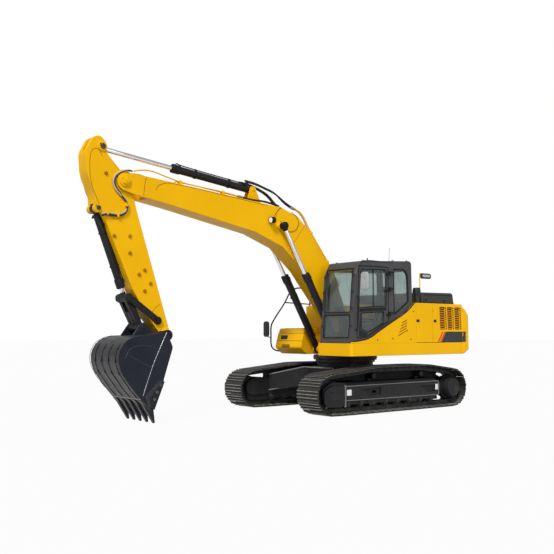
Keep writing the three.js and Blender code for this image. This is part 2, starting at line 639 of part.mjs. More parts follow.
const makeToolBoxLid = () => sideways(
  [[BOX_REAR + 4, 1560 + CLEAR], [742, 1560 + CLEAR], [700, 1668, 50], [BOX_REAR + 4, 1676, 20]],
  [TANK_Y[0] + 4, TANK_Y[1] - 4]);

function makeHandrail() {
  const on = (x, z) => [x, railY, z];
  const foot = TANK_Y[0] - GAP;
  return join(
    tube([[600, foot, 1170], [600, foot - 24, 1170], on(660, 1165), on(860, 1225), on(905, 1300),
      on(915, 1500), on(905, 1735), on(860, 1820), on(510, 2262), on(350, 2500), on(250, 2570),
      on(-60, 2590), on(-200, 2530), on(-240, 2400), on(-245, 2180), [-240, foot - 24, 2130],
      [-240, foot, 2130]], railRadius, 46),
    tube([on(513, 2258), on(-243, 2235)], railRadius - 3, 1));
}

function makeMirror([x, y, z], arm) {
  const glass = lengthways([[y - 90, z - 175, 60], [y + 90, z - 175, 60], [y + 90, z + 175, 60],
    [y - 90, z + 175, 60]], [x - 20, x + 22]);
  return join(glass, tube(arm, 10, 10));
}

// ---------------------------------------------------------------- boom, arm and bucket
const NOSE_RADIUS = 135;
const ARM_PIN = 55;
const EAR_DEPTH = 450;           // from the arm pivot back to the solid part of the boom

const boomOutline = [
  [100, 1870], [520, 2816, 900], [1491, 4049, 1144], [5020, 4331, 2000], [5585, 4335, NOSE_RADIUS],
  [5585, 4065, NOSE_RADIUS], [5270, 3982, 60], [4500, 3865, 2000], [1862, 3410, 2100], [416, 1740, 60],
];

function makeBoom() {
  const inner = BOOM_HALF - BOOM_EAR;
  const bosses = [1, -1].map((side) => join(
    across(BOOM_CYL.eye, mirrored(BOOM_HALF - 5, BOOM_CYL_Y - EYE_HALF - CLEAR, side), 78, 14),
    across(ARM_PIVOT, mirrored(BOOM_HALF - 5, BOOM_HALF + 26, side), 105, 16)));
  const bracket = [[2340, 4100], [2720, 4130], [2636, 4395], [2600, 4465, 30], [2520, 4465, 30]];
  const whole = join(
    sideways(boomOutline, [-BOOM_HALF, BOOM_HALF]), bosses,
    across(BOOM_FOOT, [-BOOM_HALF, BOOM_HALF], 150, 20));
  const slot = box([ARM_PIVOT[0] - EAR_DEPTH, ARM_PIVOT[0] + 300], [-inner, inner], [3850, 4500]);
  return join(
    cut(whole, slot, across(BOOM_FOOT, [-BOOM_HALF - 20, BOOM_HALF + 20], FOOT_PIN + PIN_CLEAR, 12)),
    clevis(ARM_CYL.foot, 0, 80, CYL_PIN, bracket),
    across(ARM_PIVOT, [-BOOM_HALF - 34, BOOM_HALF + 34], ARM_PIN, 12));
}

const makeWorkLight = () => join(
  bar([2200, BOOM_HALF + 85, 3800], [2285, BOOM_HALF + 85, 3790], 62, 16),
  box([2205, 2245], [BOOM_HALF + GAP, BOOM_HALF + 75], [3770, 3810]));

const HEAD_CUT = 300;            // room for the rod's eye to drift in the arm's head
const BUCKET_PIN = 42;
const LINK_PIN = 38;
const TIP_HALF = 190;

const armOutline = [
  [4480, 1560], [5190, 3740, 300], [5290, 4130, 150], [5540, 4420, 200], [5760, 4640, 150],
  [5790, 4840, 80], [5900, 4950, 90], [6030, 4900, 90], [6165, 4640, 160], [6135, 4260, 400],
  [5968, 3900, 300], [5968, 3740, 60], [5850, 3590, 60], [5735, 3400, 200], [5400, 2660],
  [5245, 2330, 300], [4950, 1870, 300], [4690, 1560],
];

function makeArm() {
  const pivotBore = across(ARM_PIVOT, [-300, 300], ARM_PIN + PIN_CLEAR, 12);
  const headSlot = across(ARM_CYL.eye, [-EYE_HALF - CLEAR, EYE_HALF + CLEAR], HEAD_CUT, 24);
  const foot = BUCKET_CYL.foot;
  const room = BUCKET_CYL.radius + CLEAR;
  const { along } = axisOf(BUCKET_CYL);
  const footSlot = join(
    across(foot, [-room, room], EYE_RADIUS + 16, 16),
    hull([0, 420].flatMap((distance) => [-1, 1].flatMap((end) => [-room, room].map((y) => {
      const [x, z] = along(distance);
      const way = [along(1)[1] - foot[1], foot[0] - along(1)[0]];
      return [x + way[0] * end * (room + 6), y, z + way[1] * end * (room + 6)];
    })))));
  const plate = join(
    sideways(armOutline, [-ARM_HALF, ARM_HALF]),
    across(ARM_PIVOT, [-ARM_HALF, ARM_HALF], 160, 20),
    across(BUCKET_PIVOT, [-TIP_HALF, TIP_HALF], 105, 18),
    across(foot, [-ARM_HALF, ARM_HALF], 80, 18),
    [1, -1].map((side) => across(ARM_CYL.eye, mirrored(ARM_HALF - 5, ARM_HALF + 22, side), 85, 16)));
  return join(
    cut(plate, pivotBore, headSlot, footSlot),
    across(foot, [-ARM_HALF - 14, ARM_HALF + 14], CYL_PIN, 12),
    across(BUCKET_PIVOT, [-262, 262], BUCKET_PIN, 12),
    across(IDLER_LINK_PIN, [-200, 200], LINK_PIN, 12));
}

const LINK_Y = [ARM_HALF + CLEAR, ARM_HALF + CLEAR + 34];
const EAR_Y = [LINK_Y[1] + CLEAR, LINK_Y[1] + CLEAR + 36];

function makeIdlerLink(side) {
  const y = mirrored(...LINK_Y, side);
  const [a, b] = [IDLER_LINK_PIN, BUCKET_CYL.eye];
  const away = new THREE.Vector2(b[0] - a[0], b[1] - a[1]).normalize();
  const edge = ([x, z], half) => [x - away.y * half, z + away.x * half];
  return cut(
    join(sideways([edge(a, 56), edge(a, -56), edge(b, -62), edge(b, 62)], y), across(a, y, 72, 16),
      across(b, y, 80, 16)),
    across(a, [-400, 400], LINK_PIN + PIN_CLEAR, 12));
}

function makeBucketLink() {
  const [a, b] = [BUCKET_CYL.eye, BUCKET_EAR_PIN];
  const away = new THREE.Vector2(b[0] - a[0], b[1] - a[1]).normalize();
  const edge = ([x, z], half) => [x - away.y * half, z + away.x * half];
  const along = (distance) => [a[0] + away.x * distance, a[1] + away.y * distance];
  const arms = [1, -1].map((side) => {
    const y = mirrored(EYE_HALF + CLEAR, ARM_HALF - 4, side);
    return join(sideways([edge(a, 60), edge(a, -60), edge(b, -50), edge(b, 50)], y), across(a, y, 80, 16));
  });
  return cut(
    join(arms, sideways([edge(along(250), 55), edge(along(250), -55), edge(b, -50), edge(b, 50)], [-140, 140]),
      across(b, [-TIP_HALF, TIP_HALF], 78, 16)),
    across(b, [-400, 400], LINK_PIN + PIN_CLEAR, 12));
}

const bucketOutline = [
  [4760, 1575, 40], [4640, 1320, 70], [4830, 730], [5010, 285, 20], [5265, 450, 20], [5410, 612],
  [5630, 900, 260], [5705, 1120, 220], [5650, 1335, 180], [5500, 1465, 180], [5280, 1522, 200],
  [5100, 1528], [4920, 1572],
];
const bucketInside = [
  [4300, 345], [5085, 345], [5240, 487], [5385, 642], [5596, 922, 226], [5668, 1120, 186],
  [5618, 1318, 146], [5482, 1434, 146], [5275, 1488, 166], [4900, 1500], [4300, 1500],
];

function makeBucket() {
  const inner = BUCKET_HALF - BUCKET_SIDE;
  const shell = cut(sideways(bucketOutline, [-BUCKET_HALF, BUCKET_HALF]), sideways(bucketInside, [-inner, inner]));
  const ears = [1, -1].map((side) => {
    const y = mirrored(...EAR_Y, side);
    return join(
      sideways([[4490, 1590], [4620, 1612], [4870, 1585], [4950, 1650], [5020, 1735], [5150, 1690],
        [5290, 1500], [4780, 1490], [4500, 1450]], y),
      across(BUCKET_PIVOT, y, 96, 16), across(BUCKET_EAR_PIN, y, 84, 16));
  });
  const rib = sideways([[4700, 1500], [4790, 1560], [5230, 1512], [5230, 1490]], [-EAR_Y[1], EAR_Y[1]]);
  const span = BUCKET_HALF - 70;
  const teeth = Array.from({ length: TOOTH_COUNT }, (_, i) => {
    const y = span * ((2 * i) / (TOOTH_COUNT - 1) - 1);
    const pair = (x, z, half) => [[x, y - half, z], [x, y + half, z]];
    return hull([...pair(5015, 345, 46), ...pair(5075, 250, 50), ...pair(5250, 440, 46), ...pair(5190, 480, 46),
      ...pair(4960, 36, 26), ...pair(4985, 28, 26)]);
  });
  const cutters = [1, -1].map((side) => sideways(
    [[4812, 735], [4865, 730], [5100, 465, 40], [5050, 280], [5008, 262]],
    mirrored(BUCKET_HALF - 4, BUCKET_HALF + 24, side)));
  const bore = across(BUCKET_PIVOT, [-400, 400], BUCKET_PIN + PIN_CLEAR, 12);
  return join(
    cut(join(shell, ears, rib, teeth, cutters), bore),
    across(BUCKET_EAR_PIN, [-EAR_Y[1] - 10, EAR_Y[1] + 10], LINK_PIN, 12));
}

// ---------------------------------------------------------------- upper structure pieces
piece(upper, 'revolving_frame', yellow, makeDeck());
piece(upper, 'counterweight', yellow, makeCounterweight());
piece(upper, 'engine_bay_frame', yellow, makeBayFrame());
piece(upper, 'engine_block', castIron, box([-2140, -1430], [-600, 480], [DECK_Z[1] + GAP, 2040]));
piece(upper, 'cooling_pack', black, box([-2230, -1400], [880, 1080], [DECK_Z[1] + GAP, 2110]));
piece(upper, 'fuel_tank', yellow, makeTank([-688, TANK_FRONT]));
piece(upper, 'hydraulic_tank', yellow, makeTank([PUMP_BAY_FRONT + GAP, -690]));
piece(upper, 'tool_box', yellow, makeToolBox());
piece(upper, 'handrail', black, makeHandrail());
piece(upper, 'mirror_right', black, makeMirror([935, railY - 140, 1655],
  [[930, railY - 140, 1560], [930, railY - 90, 1490], [928, railY - railRadius - 14, 1470]]));
piece(upper, 'mirror_left', chrome, makeMirror([1100, cabLeft + 370, 2565],
  [[1095, cabLeft + 370, 2720], [1080, cabLeft + 360, 2800], [990, cabLeft + 90, 2860],
    [915, cabLeft + 15, 2860]]));
piece(upper, 'air_intake', black, join(
  bar([-915, 1242, BODY_TOP + GAP], [-915, 1242, 2450], 60, 14),
  bar([-915, 1242, 2400], [-915, 1242, 2530], 84, 20)));
piece(upper, 'cab_shell', charcoal, makeCabShell());
piece(upper, 'cab_side_panel', yellow, makeSidePanel());
piece(upper, 'windscreen_lower', tintedGlass, frontPane(FRONT_PANES[0]));
piece(upper, 'windscreen_upper', tintedGlass, frontPane(FRONT_PANES[1]));
piece(upper, 'rear_window', tintedGlass, rearPane());
piece(upper, 'roof_hatch', charcoal, roofHatch());
piece(upper, 'side_window_left', tintedGlass, sidePane(rearQuarter, cabLeft - 26));
piece(upper, 'side_window_right', tintedGlass, sidePane(rightWindow, cabRight + 18));
piece(upper, 'operator_seat', fabric, makeSeat());
piece(upper, 'travel_levers', black, makeTravelLevers());

const HINGE_OUT = 10;            // from a body door's face out to its hinge line
const CAB_HINGE_OUT = 50;        // the cab door's hinges stand further out, to pass the side panel
const cabDoor = body(upper, [44, cabLeft + CAB_HINGE_OUT, 2200]);
piece(cabDoor, 'cab_door', charcoal, makeDoor());
piece(cabDoor, 'door_glass_upper', tintedGlass, sidePane(doorWindows[0], cabLeft - 26));
piece(cabDoor, 'door_glass_lower', tintedGlass, sidePane(doorWindows[1], cabLeft - 26));

const leftDoorFront = body(upper, [LEFT_SPLIT + 5, HALF_WIDTH + HINGE_OUT, 1800]);
piece(leftDoorFront, 'left_door_front', yellow,
  box([LEFT_SPLIT + 5, BODY_FRONT - CLEAR], [HALF_WIDTH - PANEL, HALF_WIDTH], DOOR_Z));
const leftDoorRear = body(upper, [BAY_REAR + CLEAR, HALF_WIDTH + HINGE_OUT, 1800]);
piece(leftDoorRear, 'left_door_rear', yellow, makeLeftDoorRear());
const rightDoor = body(upper, [BAY_REAR + CLEAR, -HALF_WIDTH - HINGE_OUT, 1800]);
piece(rightDoor, 'right_door', yellow,
  box([BAY_REAR + CLEAR, PUMP_BAY_FRONT - CLEAR], [-HALF_WIDTH, PANEL - HALF_WIDTH], DOOR_Z));
const hood = body(upper, [HOOD_X[1], 0, BODY_TOP + CLEAR]);
piece(hood, 'engine_hood', black, makeHood());
piece(hood, 'rear_mirror', yellow, join(
  bar([-1420, 900, HOOD_TOP - 10 + GAP], [-1420, 900, 2890], 11, 10),
  sideways([[-1800, 2760, 50], [-1440, 2790, 50], [-1410, 2890, 40], [-1730, 2870, 50]], [880, 915])));
const lid = body(upper, [BOX_REAR + 4, -935, 1676]);
piece(lid, 'tool_box_lid', yellow, makeToolBoxLid());

// ---------------------------------------------------------------- working gear pieces
const boomBarrels = body(upper, pivotAt(BOOM_CYL.foot));
const boomRods = body(boomBarrels, pivotAt(BOOM_CYL.foot));
for (const [hand, side] of [['left', 1], ['right', -1]]) {
  piece(boomBarrels, `boom_cylinder_barrel_${hand}`, black, makeBarrel(BOOM_CYL, side * BOOM_CYL_Y, CYL_PIN));
  piece(boomRods, `boom_cylinder_rod_${hand}`, chrome, makeRod(BOOM_CYL, side * BOOM_CYL_Y));
}
piece(boom, 'boom', yellow, makeBoom());
piece(boom, 'work_light', black, makeWorkLight());

const armBarrel = body(boom, pivotAt(ARM_CYL.foot));
const armRod = body(armBarrel, pivotAt(ARM_CYL.foot));
piece(armBarrel, 'arm_cylinder_barrel', black, makeBarrel(ARM_CYL, 0, CYL_PIN));
piece(armRod, 'arm_cylinder_rod', chrome, makeRod(ARM_CYL, 0));
piece(arm, 'arm', yellow, makeArm());

const bucketBarrel = body(arm, pivotAt(BUCKET_CYL.foot));
const bucketRod = body(bucketBarrel, pivotAt(BUCKET_CYL.foot));
piece(bucketBarrel, 'bucket_cylinder_barrel', black, makeBarrel(BUCKET_CYL, 0, CYL_PIN));
piece(bucketRod, 'bucket_cylinder_rod', chrome, makeRod(BUCKET_CYL, 0));

const idlerLinks = body(arm, pivotAt(IDLER_LINK_PIN));
for (const [hand, side] of [['left', 1], ['right', -1]]) {
  piece(idlerLinks, `idler_link_${hand}`, black, makeIdlerLink(side));
}
const bucket = body(arm, pivotAt(BUCKET_PIVOT));
piece(bucket, 'bucket', bucketSteel, makeBucket());
const bucketLink = body(bucket, pivotAt(BUCKET_EAR_PIN));
piece(bucketLink, 'bucket_link', black, makeBucketLink());

// ---------------------------------------------------------------- origin under the middle, on the ground
const bounds = new THREE.Box3().setFromObject(machine);
const middle = bounds.getCenter(new THREE.Vector3());
machine.position.set(-middle.x, -middle.y, -bounds.min.z);

export default machine;
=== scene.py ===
import json
import math

import bpy
from mathutils import Matrix, Vector

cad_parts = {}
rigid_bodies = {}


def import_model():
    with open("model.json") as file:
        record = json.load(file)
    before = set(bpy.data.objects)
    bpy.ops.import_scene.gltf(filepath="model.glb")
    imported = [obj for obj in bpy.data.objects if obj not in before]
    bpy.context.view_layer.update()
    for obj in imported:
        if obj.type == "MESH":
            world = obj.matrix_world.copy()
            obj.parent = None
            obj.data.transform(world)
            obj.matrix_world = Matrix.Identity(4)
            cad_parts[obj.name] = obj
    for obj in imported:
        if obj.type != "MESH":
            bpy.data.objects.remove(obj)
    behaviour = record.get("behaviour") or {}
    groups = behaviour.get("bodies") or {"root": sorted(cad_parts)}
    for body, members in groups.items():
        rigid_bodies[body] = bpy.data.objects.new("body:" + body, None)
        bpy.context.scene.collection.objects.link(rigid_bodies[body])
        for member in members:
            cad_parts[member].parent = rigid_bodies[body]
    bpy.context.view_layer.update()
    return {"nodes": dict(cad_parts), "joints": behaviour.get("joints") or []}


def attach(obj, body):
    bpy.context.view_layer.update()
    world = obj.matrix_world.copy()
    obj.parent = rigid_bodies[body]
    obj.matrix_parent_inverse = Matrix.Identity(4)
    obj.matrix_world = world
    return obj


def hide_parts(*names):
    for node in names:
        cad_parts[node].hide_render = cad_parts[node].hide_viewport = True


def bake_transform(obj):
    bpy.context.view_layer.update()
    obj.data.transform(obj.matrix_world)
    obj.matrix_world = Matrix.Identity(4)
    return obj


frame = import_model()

# ---- View, floor and light. The machine stands on a pale studio floor and is seen from its
# front left corner at chest height. Places in this file are metres from the swing axis at ground level.
joints = {joint["name"]: joint for joint in frame["joints"]}
CENTRE = Vector(joints["swing"]["pos_m"]) * Vector((1, 1, 0))


def spot(x, y, z):
    return CENTRE + Vector((x, y, z))


CAMERA_AT = (11.881, 12.335, 1.566)
CAMERA_YAW = math.radians(-129.0)
CAMERA_PITCH = math.radians(4.08)
bpy.ops.object.camera_add(location=spot(*CAMERA_AT))
camera = bpy.context.object
camera.name = "camera"
camera.rotation_euler = (math.pi / 2 + CAMERA_PITCH, 0, CAMERA_YAW - math.pi / 2)
camera.data.sensor_width = 36
camera.data.lens = 51.08
camera.data.clip_end = 400
bpy.context.scene.camera = camera
bpy.context.scene.view_settings.view_transform = "Standard"


def material_named(name):
    """A new material with only its output and one principled shader."""
    made = bpy.data.materials.new(name)
    made.use_nodes = True
    return made, made.node_tree.nodes, made.node_tree.links, made.node_tree.nodes["Principled BSDF"]


def lit_or_white(material, shader, share):
    """What is seen of a backdrop, straight or in glass and metal: part lit surface, part plain white."""
    nodes, links = material.node_tree.nodes, material.node_tree.links
    path = nodes.new("ShaderNodeLightPath")
    seen = nodes.new("ShaderNodeMath")
    seen.operation = "MAXIMUM"
    links.new(path.outputs["Is Camera Ray"], seen.inputs[0])
    links.new(path.outputs["Is Transmission Ray"], seen.inputs[1])
    also = nodes.new("ShaderNodeMath")
    also.operation = "MAXIMUM"
    links.new(seen.outputs[0], also.inputs[0])
    links.new(path.outputs["Is Glossy Ray"], also.inputs[1])
    part = nodes.new("ShaderNodeMath")
    part.operation = "MULTIPLY"
    part.inputs[1].default_value = share
    links.new(also.outputs[0], part.inputs[0])
    white = nodes.new("ShaderNodeEmission")
    blend = nodes.new("ShaderNodeMixShader")
    links.new(part.outputs[0], blend.inputs[0])
    links.new(shader.outputs[0], blend.inputs[1])
    links.new(white.outputs[0], blend.inputs[2])
    links.new(blend.outputs[0], nodes["Material Output"].inputs["Surface"])


bpy.ops.object.select_all(action="DESELECT")
bpy.ops.mesh.primitive_plane_add(size=300, location=spot(0, 0, 0))
floor = bpy.context.object
floor.name = "studio_floor"
floor_paint, _, _, floor_shader = material_named("pale_floor")
floor_shader.inputs["Base Color"].default_value = (0.4, 0.4, 0.4, 1)
floor_shader.inputs["Roughness"].default_value = 0.9
floor_shader.inputs["Specular IOR Level"].default_value = 0.1
lit_or_white(floor_paint, floor_shader, 0.95)
floor.data.materials.append(floor_paint)

SKY_LIGHT = 0.53
world = bpy.data.worlds.new("studio")
bpy.context.scene.world = world
world.use_nodes = True
sky = world.node_tree.nodes["Background"]
sky.inputs["Color"].default_value = (0.93, 0.96, 1, 1)
sky.inputs["Strength"].default_value = SKY_LIGHT
backdrop = world.node_tree.nodes.new("ShaderNodeBackground")
backdrop.inputs["Color"].default_value = (1, 1, 1, 1)
rays = world.node_tree.nodes.new("ShaderNodeLightPath")
either = world.node_tree.nodes.new("ShaderNodeMath")
either.operation = "MAXIMUM"
choose = world.node_tree.nodes.new("ShaderNodeMixShader")
world.node_tree.links.new(rays.outputs["Is Camera Ray"], either.inputs[0])
world.node_tree.links.new(rays.outputs["Is Transmission Ray"], either.inputs[1])
world.node_tree.links.new(either.outputs[0], choose.inputs[0])
world.node_tree.links.new(sky.outputs[0], choose.inputs[1])
world.node_tree.links.new(backdrop.outputs[0], choose.inputs[2])
world.node_tree.links.new(choose.outputs[0], world.node_tree.nodes["World Output"].inputs["Surface"])


def add_sun(name, towards, strength, softness, tint):
    """A lamp like a large soft box, far off in the direction given."""
    bpy.ops.object.light_add(type="SUN", location=spot(*(8 * Vector(towards))))
    lamp = bpy.context.object
    lamp.name = name
    lamp.rotation_euler = Vector(towards).to_track_quat("Z", "Y").to_euler()
    lamp.data.energy = strength
    lamp.data.angle = math.radians(softness)
    lamp.data.color = tint


add_sun("key_light", (0.84, 0.6, 0.98), 2.75, 12, (1, 0.98, 0.94))
add_sun("fill_light", (0.1, 1.0, 0.35), 0.6, 40, (0.95, 0.97, 1))

# ---- Undercarriage: car body, swing bearing and track frames. They are welded boxes and castings in
# black enamel, bolted to each other, dusty low down and rubbed bare where they are stepped on.


def alone(thing):
    """Leaves only this object selected and active."""
    bpy.ops.object.select_all(action="DESELECT")
    thing.select_set(True)
    bpy.context.view_layer.objects.active = thing
    return thing


def use(thing, kind, **settings):
    """Adds a modifier with its settings and applies it."""
    alone(thing)
    bpy.ops.object.modifier_add(type=kind)
    modifier = thing.modifiers[-1]
    for key, value in settings.items():
        setattr(modifier, key, value)
    bpy.ops.object.modifier_apply(modifier=modifier.name)


def soften(thing, width, angle=36, segments=2):
    """Breaks the sharp edges, and shades the faces smooth across them."""
    use(thing, "BEVEL", width=width, segments=segments, limit_method="ANGLE",
        angle_limit=math.radians(angle), use_clamp_overlap=False, miter_outer="MITER_ARC")
    alone(thing)
    bpy.ops.object.shade_smooth_by_angle(angle=math.radians(angle))
    use(thing, "WEIGHTED_NORMAL", keep_sharp=True)


def belong(thing, name, body, material, replaced=()):
    """Names a finished piece, settles its place, and gives it its body, finish and slot."""
    thing.name = name
    thing.data.name = name
    alone(thing)
    bpy.ops.object.transform_apply(location=True, rotation=True, scale=True)
    if material is not None:
        thing.data.materials.clear()
        thing.data.materials.append(material)
    if body is not None:
        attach(thing, body)
    if replaced:
        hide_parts(*replaced)
    return thing


def body_of_node(node):
    return frame["nodes"][node].parent.name.split(":")[1]


def dressed(node, name, material, edge=0.006, angle=36, segments=2, has_openings=False):
    """A copy of a CAD node as the maker finishes it, with broken edges and paint."""
    alone(frame["nodes"][node])
    bpy.ops.object.duplicate()
    made = bpy.context.object
    made.parent = None
    for key in list(made.keys()):
        del made[key]
    bpy.ops.object.mode_set(mode="EDIT")
    bpy.ops.mesh.select_all(action="SELECT")
    bpy.ops.mesh.remove_doubles(threshold=0.00005)
    if not has_openings:
        bpy.ops.mesh.dissolve_limited(angle_limit=math.radians(0.6))
    bpy.ops.object.mode_set(mode="OBJECT")
    soften(made, edge, angle, segments)
    return belong(made, name, body_of_node(node), material, [node])


def mottled(nodes, links, scale, detail, low, high, stretch=(1, 1, 1)):
    """A soft noise on the piece's own coordinates, from 0 below low to 1 above high."""
    where = nodes.new("ShaderNodeTexCoord")
    turn = nodes.new("ShaderNodeMapping")
    turn.inputs["Scale"].default_value = stretch
    noise = nodes.new("ShaderNodeTexNoise")
    noise.inputs["Scale"].default_value = scale
    noise.inputs["Detail"].default_value = detail
    spread = nodes.new("ShaderNodeMapRange")
    spread.inputs["From Min"].default_value = low
    spread.inputs["From Max"].default_value = high
    links.new(where.outputs["Object"], turn.inputs["Vector"])
    links.new(turn.outputs["Vector"], noise.inputs["Vector"])
    links.new(noise.outputs["Fac"], spread.inputs["Value"])
    return spread.outputs["Result"]


def blended(nodes, links, share, first, second):
    """A colour between two, each a colour or the output of a node."""
    mix = nodes.new("ShaderNodeMix")
    mix.data_type = "RGBA"
    if isinstance(share, float):
        mix.inputs["Factor"].default_value = share
    else:
        links.new(share, mix.inputs["Factor"])
    for socket, value in ((mix.inputs[6], first), (mix.inputs[7], second)):
        if isinstance(value, tuple):
            socket.default_value = (*value, 1)
        else:
            links.new(value, socket)
    return mix.outputs[2]


def multiplied(nodes, links, first, second):
    product = nodes.new("ShaderNodeMath")
    product.operation = "MULTIPLY"
    links.new(first, product.inputs[0])
    if isinstance(second, (int, float)):
        product.inputs[1].default_value = second
    else:
        links.new(second, product.inputs[1])
    return product.outputs[0]


def height_fade(nodes, links, bottom, top):
    """1 at the ground side, 0 above: where splashed dust settles."""
    where = nodes.new("ShaderNodeTexCoord")
    split = nodes.new("ShaderNodeSeparateXYZ")
    spread = nodes.new("ShaderNodeMapRange")
    spread.inputs["From Min"].default_value = bottom
    spread.inputs["From Max"].default_value = top
    spread.inputs["To Min"].default_value = 1
    spread.inputs["To Max"].default_value = 0
    links.new(where.outputs["Object"], split.inputs["Vector"])
    links.new(split.outputs["Z"], spread.inputs["Value"])
    return spread.outputs["Result"]


def bumped(nodes, links, shader, height, strength, distance):
    bump = nodes.new("ShaderNodeBump")
    bump.inputs["Strength"].default_value = strength
    bump.inputs["Distance"].default_value = distance
    links.new(height, bump.inputs["Height"])
    links.new(bump.outputs["Normal"], shader.inputs["Normal"])


def rough_between(nodes, links, shader, share, low, high):
    spread = nodes.new("ShaderNodeMapRange")
    spread.inputs["To Min"].default_value = low
    spread.inputs["To Max"].default_value = high
    links.new(share, spread.inputs["Value"])
    links.new(spread.outputs["Result"], shader.inputs["Roughness"])


def enamel(name, colour, shade, rough=(0.28, 0.42), dust=(0.3, 0.26, 0.2), dust_top=1.2, dust_share=0.35,
           scuff=(0.45, 0.45, 0.45), scuff_share=0.25, coat=0.12, peel=0.08, shine=0.25):
    """Sprayed enamel: a slow drift of tone, dust near the ground, fine scuffs and orange peel."""
    made, nodes, links, shader = material_named(name)
    tone = blended(nodes, links, mottled(nodes, links, 1.3, 3, 0.35, 0.68), colour, shade)
    drift = mottled(nodes, links, 5.5, 6, 0.42, 0.7)
    low = multiplied(nodes, links, drift, height_fade(nodes, links, 0, dust_top))
    dusty = blended(nodes, links, multiplied(nodes, links, low, dust_share), tone, dust)
    fine = mottled(nodes, links, 38, 5, 0.66, 0.74, (1, 1, 2.5))
    worn = blended(nodes, links, multiplied(nodes, links, fine, scuff_share), dusty, scuff)
    links.new(worn, shader.inputs["Base Color"])
    rough_between(nodes, links, shader, mottled(nodes, links, 9, 4, 0.3, 0.7), *rough)
    shader.inputs["Specular IOR Level"].default_value = shine
    shader.inputs["Coat Weight"].default_value = coat
    shader.inputs["Coat Roughness"].default_value = 0.12
    bumped(nodes, links, shader, mottled(nodes, links, 260, 2, 0.2, 0.8), peel, 0.001)
    return made


black_enamel = enamel("black_enamel", (0.0075, 0.0078, 0.0088), (0.013, 0.0132, 0.015), rough=(0.4, 0.6),
                      dust=(0.04, 0.037, 0.032), dust_top=0.9, dust_share=0.35, scuff=(0.05, 0.05, 0.055),
                      scuff_share=0.2, coat=0.05, shine=0.2)

dressed("car_body", "car_body_casting", black_enamel, 0.012)
for hand in ("left", "right"):
    dressed(f"track_frame_{hand}", f"track_frame_weldment_{hand}", black_enamel, 0.005)
bearing_steel = enamel("bearing_steel", (0.012, 0.012, 0.012), (0.022, 0.02, 0.018), rough=(0.38, 0.6),
                       dust=(0.1, 0.08, 0.06), dust_top=1.6, dust_share=0.5, scuff_share=0.5, coat=0.0)

BEARING_RINGS = ((0.64, 0.952, 1.026), (0.69, 1.028, 1.072), (0.655, 1.072, 1.104))
BOLT_CIRCLE = 0.668
BEARING_BOLTS = 36


def joined(parts):
    """One object from several, with the first one's name."""
    bpy.ops.object.select_all(action="DESELECT")
    for part in parts:
        part.select_set(True)
    bpy.context.view_layer.objects.active = parts[0]
    if len(parts) > 1:
        bpy.ops.object.join()
    return bpy.context.object


def drum(start, end, radius, sides=32, edge=0.0, edge_segments=2):
    """A round bar between two points, with its rims rounded off."""
    start, end = Vector(start), Vector(end)
    bpy.ops.object.select_all(action="DESELECT")
    bpy.ops.mesh.primitive_cylinder_add(
        vertices=sides, radius=radius, depth=(end - start).length, location=(start + end) / 2,
        rotation=(end - start).to_track_quat("Z", "Y").to_euler())
    made = bpy.context.object
    if edge > 0:
        use(made, "BEVEL", width=edge, segments=edge_segments, limit_method="ANGLE",
            angle_limit=math.radians(60))
    alone(made)
    bpy.ops.object.shade_smooth_by_angle(angle=math.radians(36))
    return made


def block(low, high, edge=0.0, segments=2):
    """A box between two corners, with its edges rounded off."""
    low, high = Vector(low), Vector(high)
    bpy.ops.object.select_all(action="DESELECT")
    bpy.ops.mesh.primitive_cube_add(size=1, location=(low + high) / 2, scale=high - low)
    made = bpy.context.object
    bpy.ops.object.transform_apply(location=False, rotation=False, scale=True)
    if edge > 0:
        soften(made, edge, segments=segments)
    return made


def repeated(first, places):
    """Copies of a finished small part at each matrix, joined as one, with the first left out."""
    copies = []
    for place in places:
        alone(first)
        bpy.ops.object.duplicate()
        copy = bpy.context.object
        copy.matrix_world = place @ first.matrix_world
        copies.append(copy)
    bpy.data.objects.remove(first)
    made = joined(copies)
    bpy.ops.object.transform_apply(location=True, rotation=True, scale=True)
    return made


def around_z(centre, count, start=0.0):
    """Turns about a standing axis through a point."""
    return [Matrix.Translation(centre) @ Matrix.Rotation(start + 2 * math.pi * i / count, 4, "Z")
            @ Matrix.Translation(-Vector(centre)) for i in range(count)]


rings = [drum(spot(0, 0, low), spot(0, 0, high), radius, 64, 0.006) for radius, low, high in BEARING_RINGS]
one_bolt = drum(spot(BOLT_CIRCLE, 0, 1.0), spot(BOLT_CIRCLE, 0, 1.1015), 0.011, 6)
bolts = repeated(one_bolt, around_z(spot(0, 0, 0), BEARING_BOLTS))
belong(joined(rings + [bolts]), "swing_ring", "undercarriage", bearing_steel,
       ["swing_bearing"])

# ---- Track frame fittings: idlers, lower and carrier rollers, and final drives. Idlers and rollers are
# forged and turned, sealed for life, and bolted under the frame; the drive's case holds its gears.
GAUGE = 2.38
SIDES = {"left": 1, "right": -1}
IDLER_X, IDLER_Z = 1.76, 0.402
DRIVE_X, DRIVE_Z = -1.84, 0.405
ROLLER_Z = 0.221
ROLLER_X = [1.22 * (2 * i / 7 - 1) for i in range(8)]


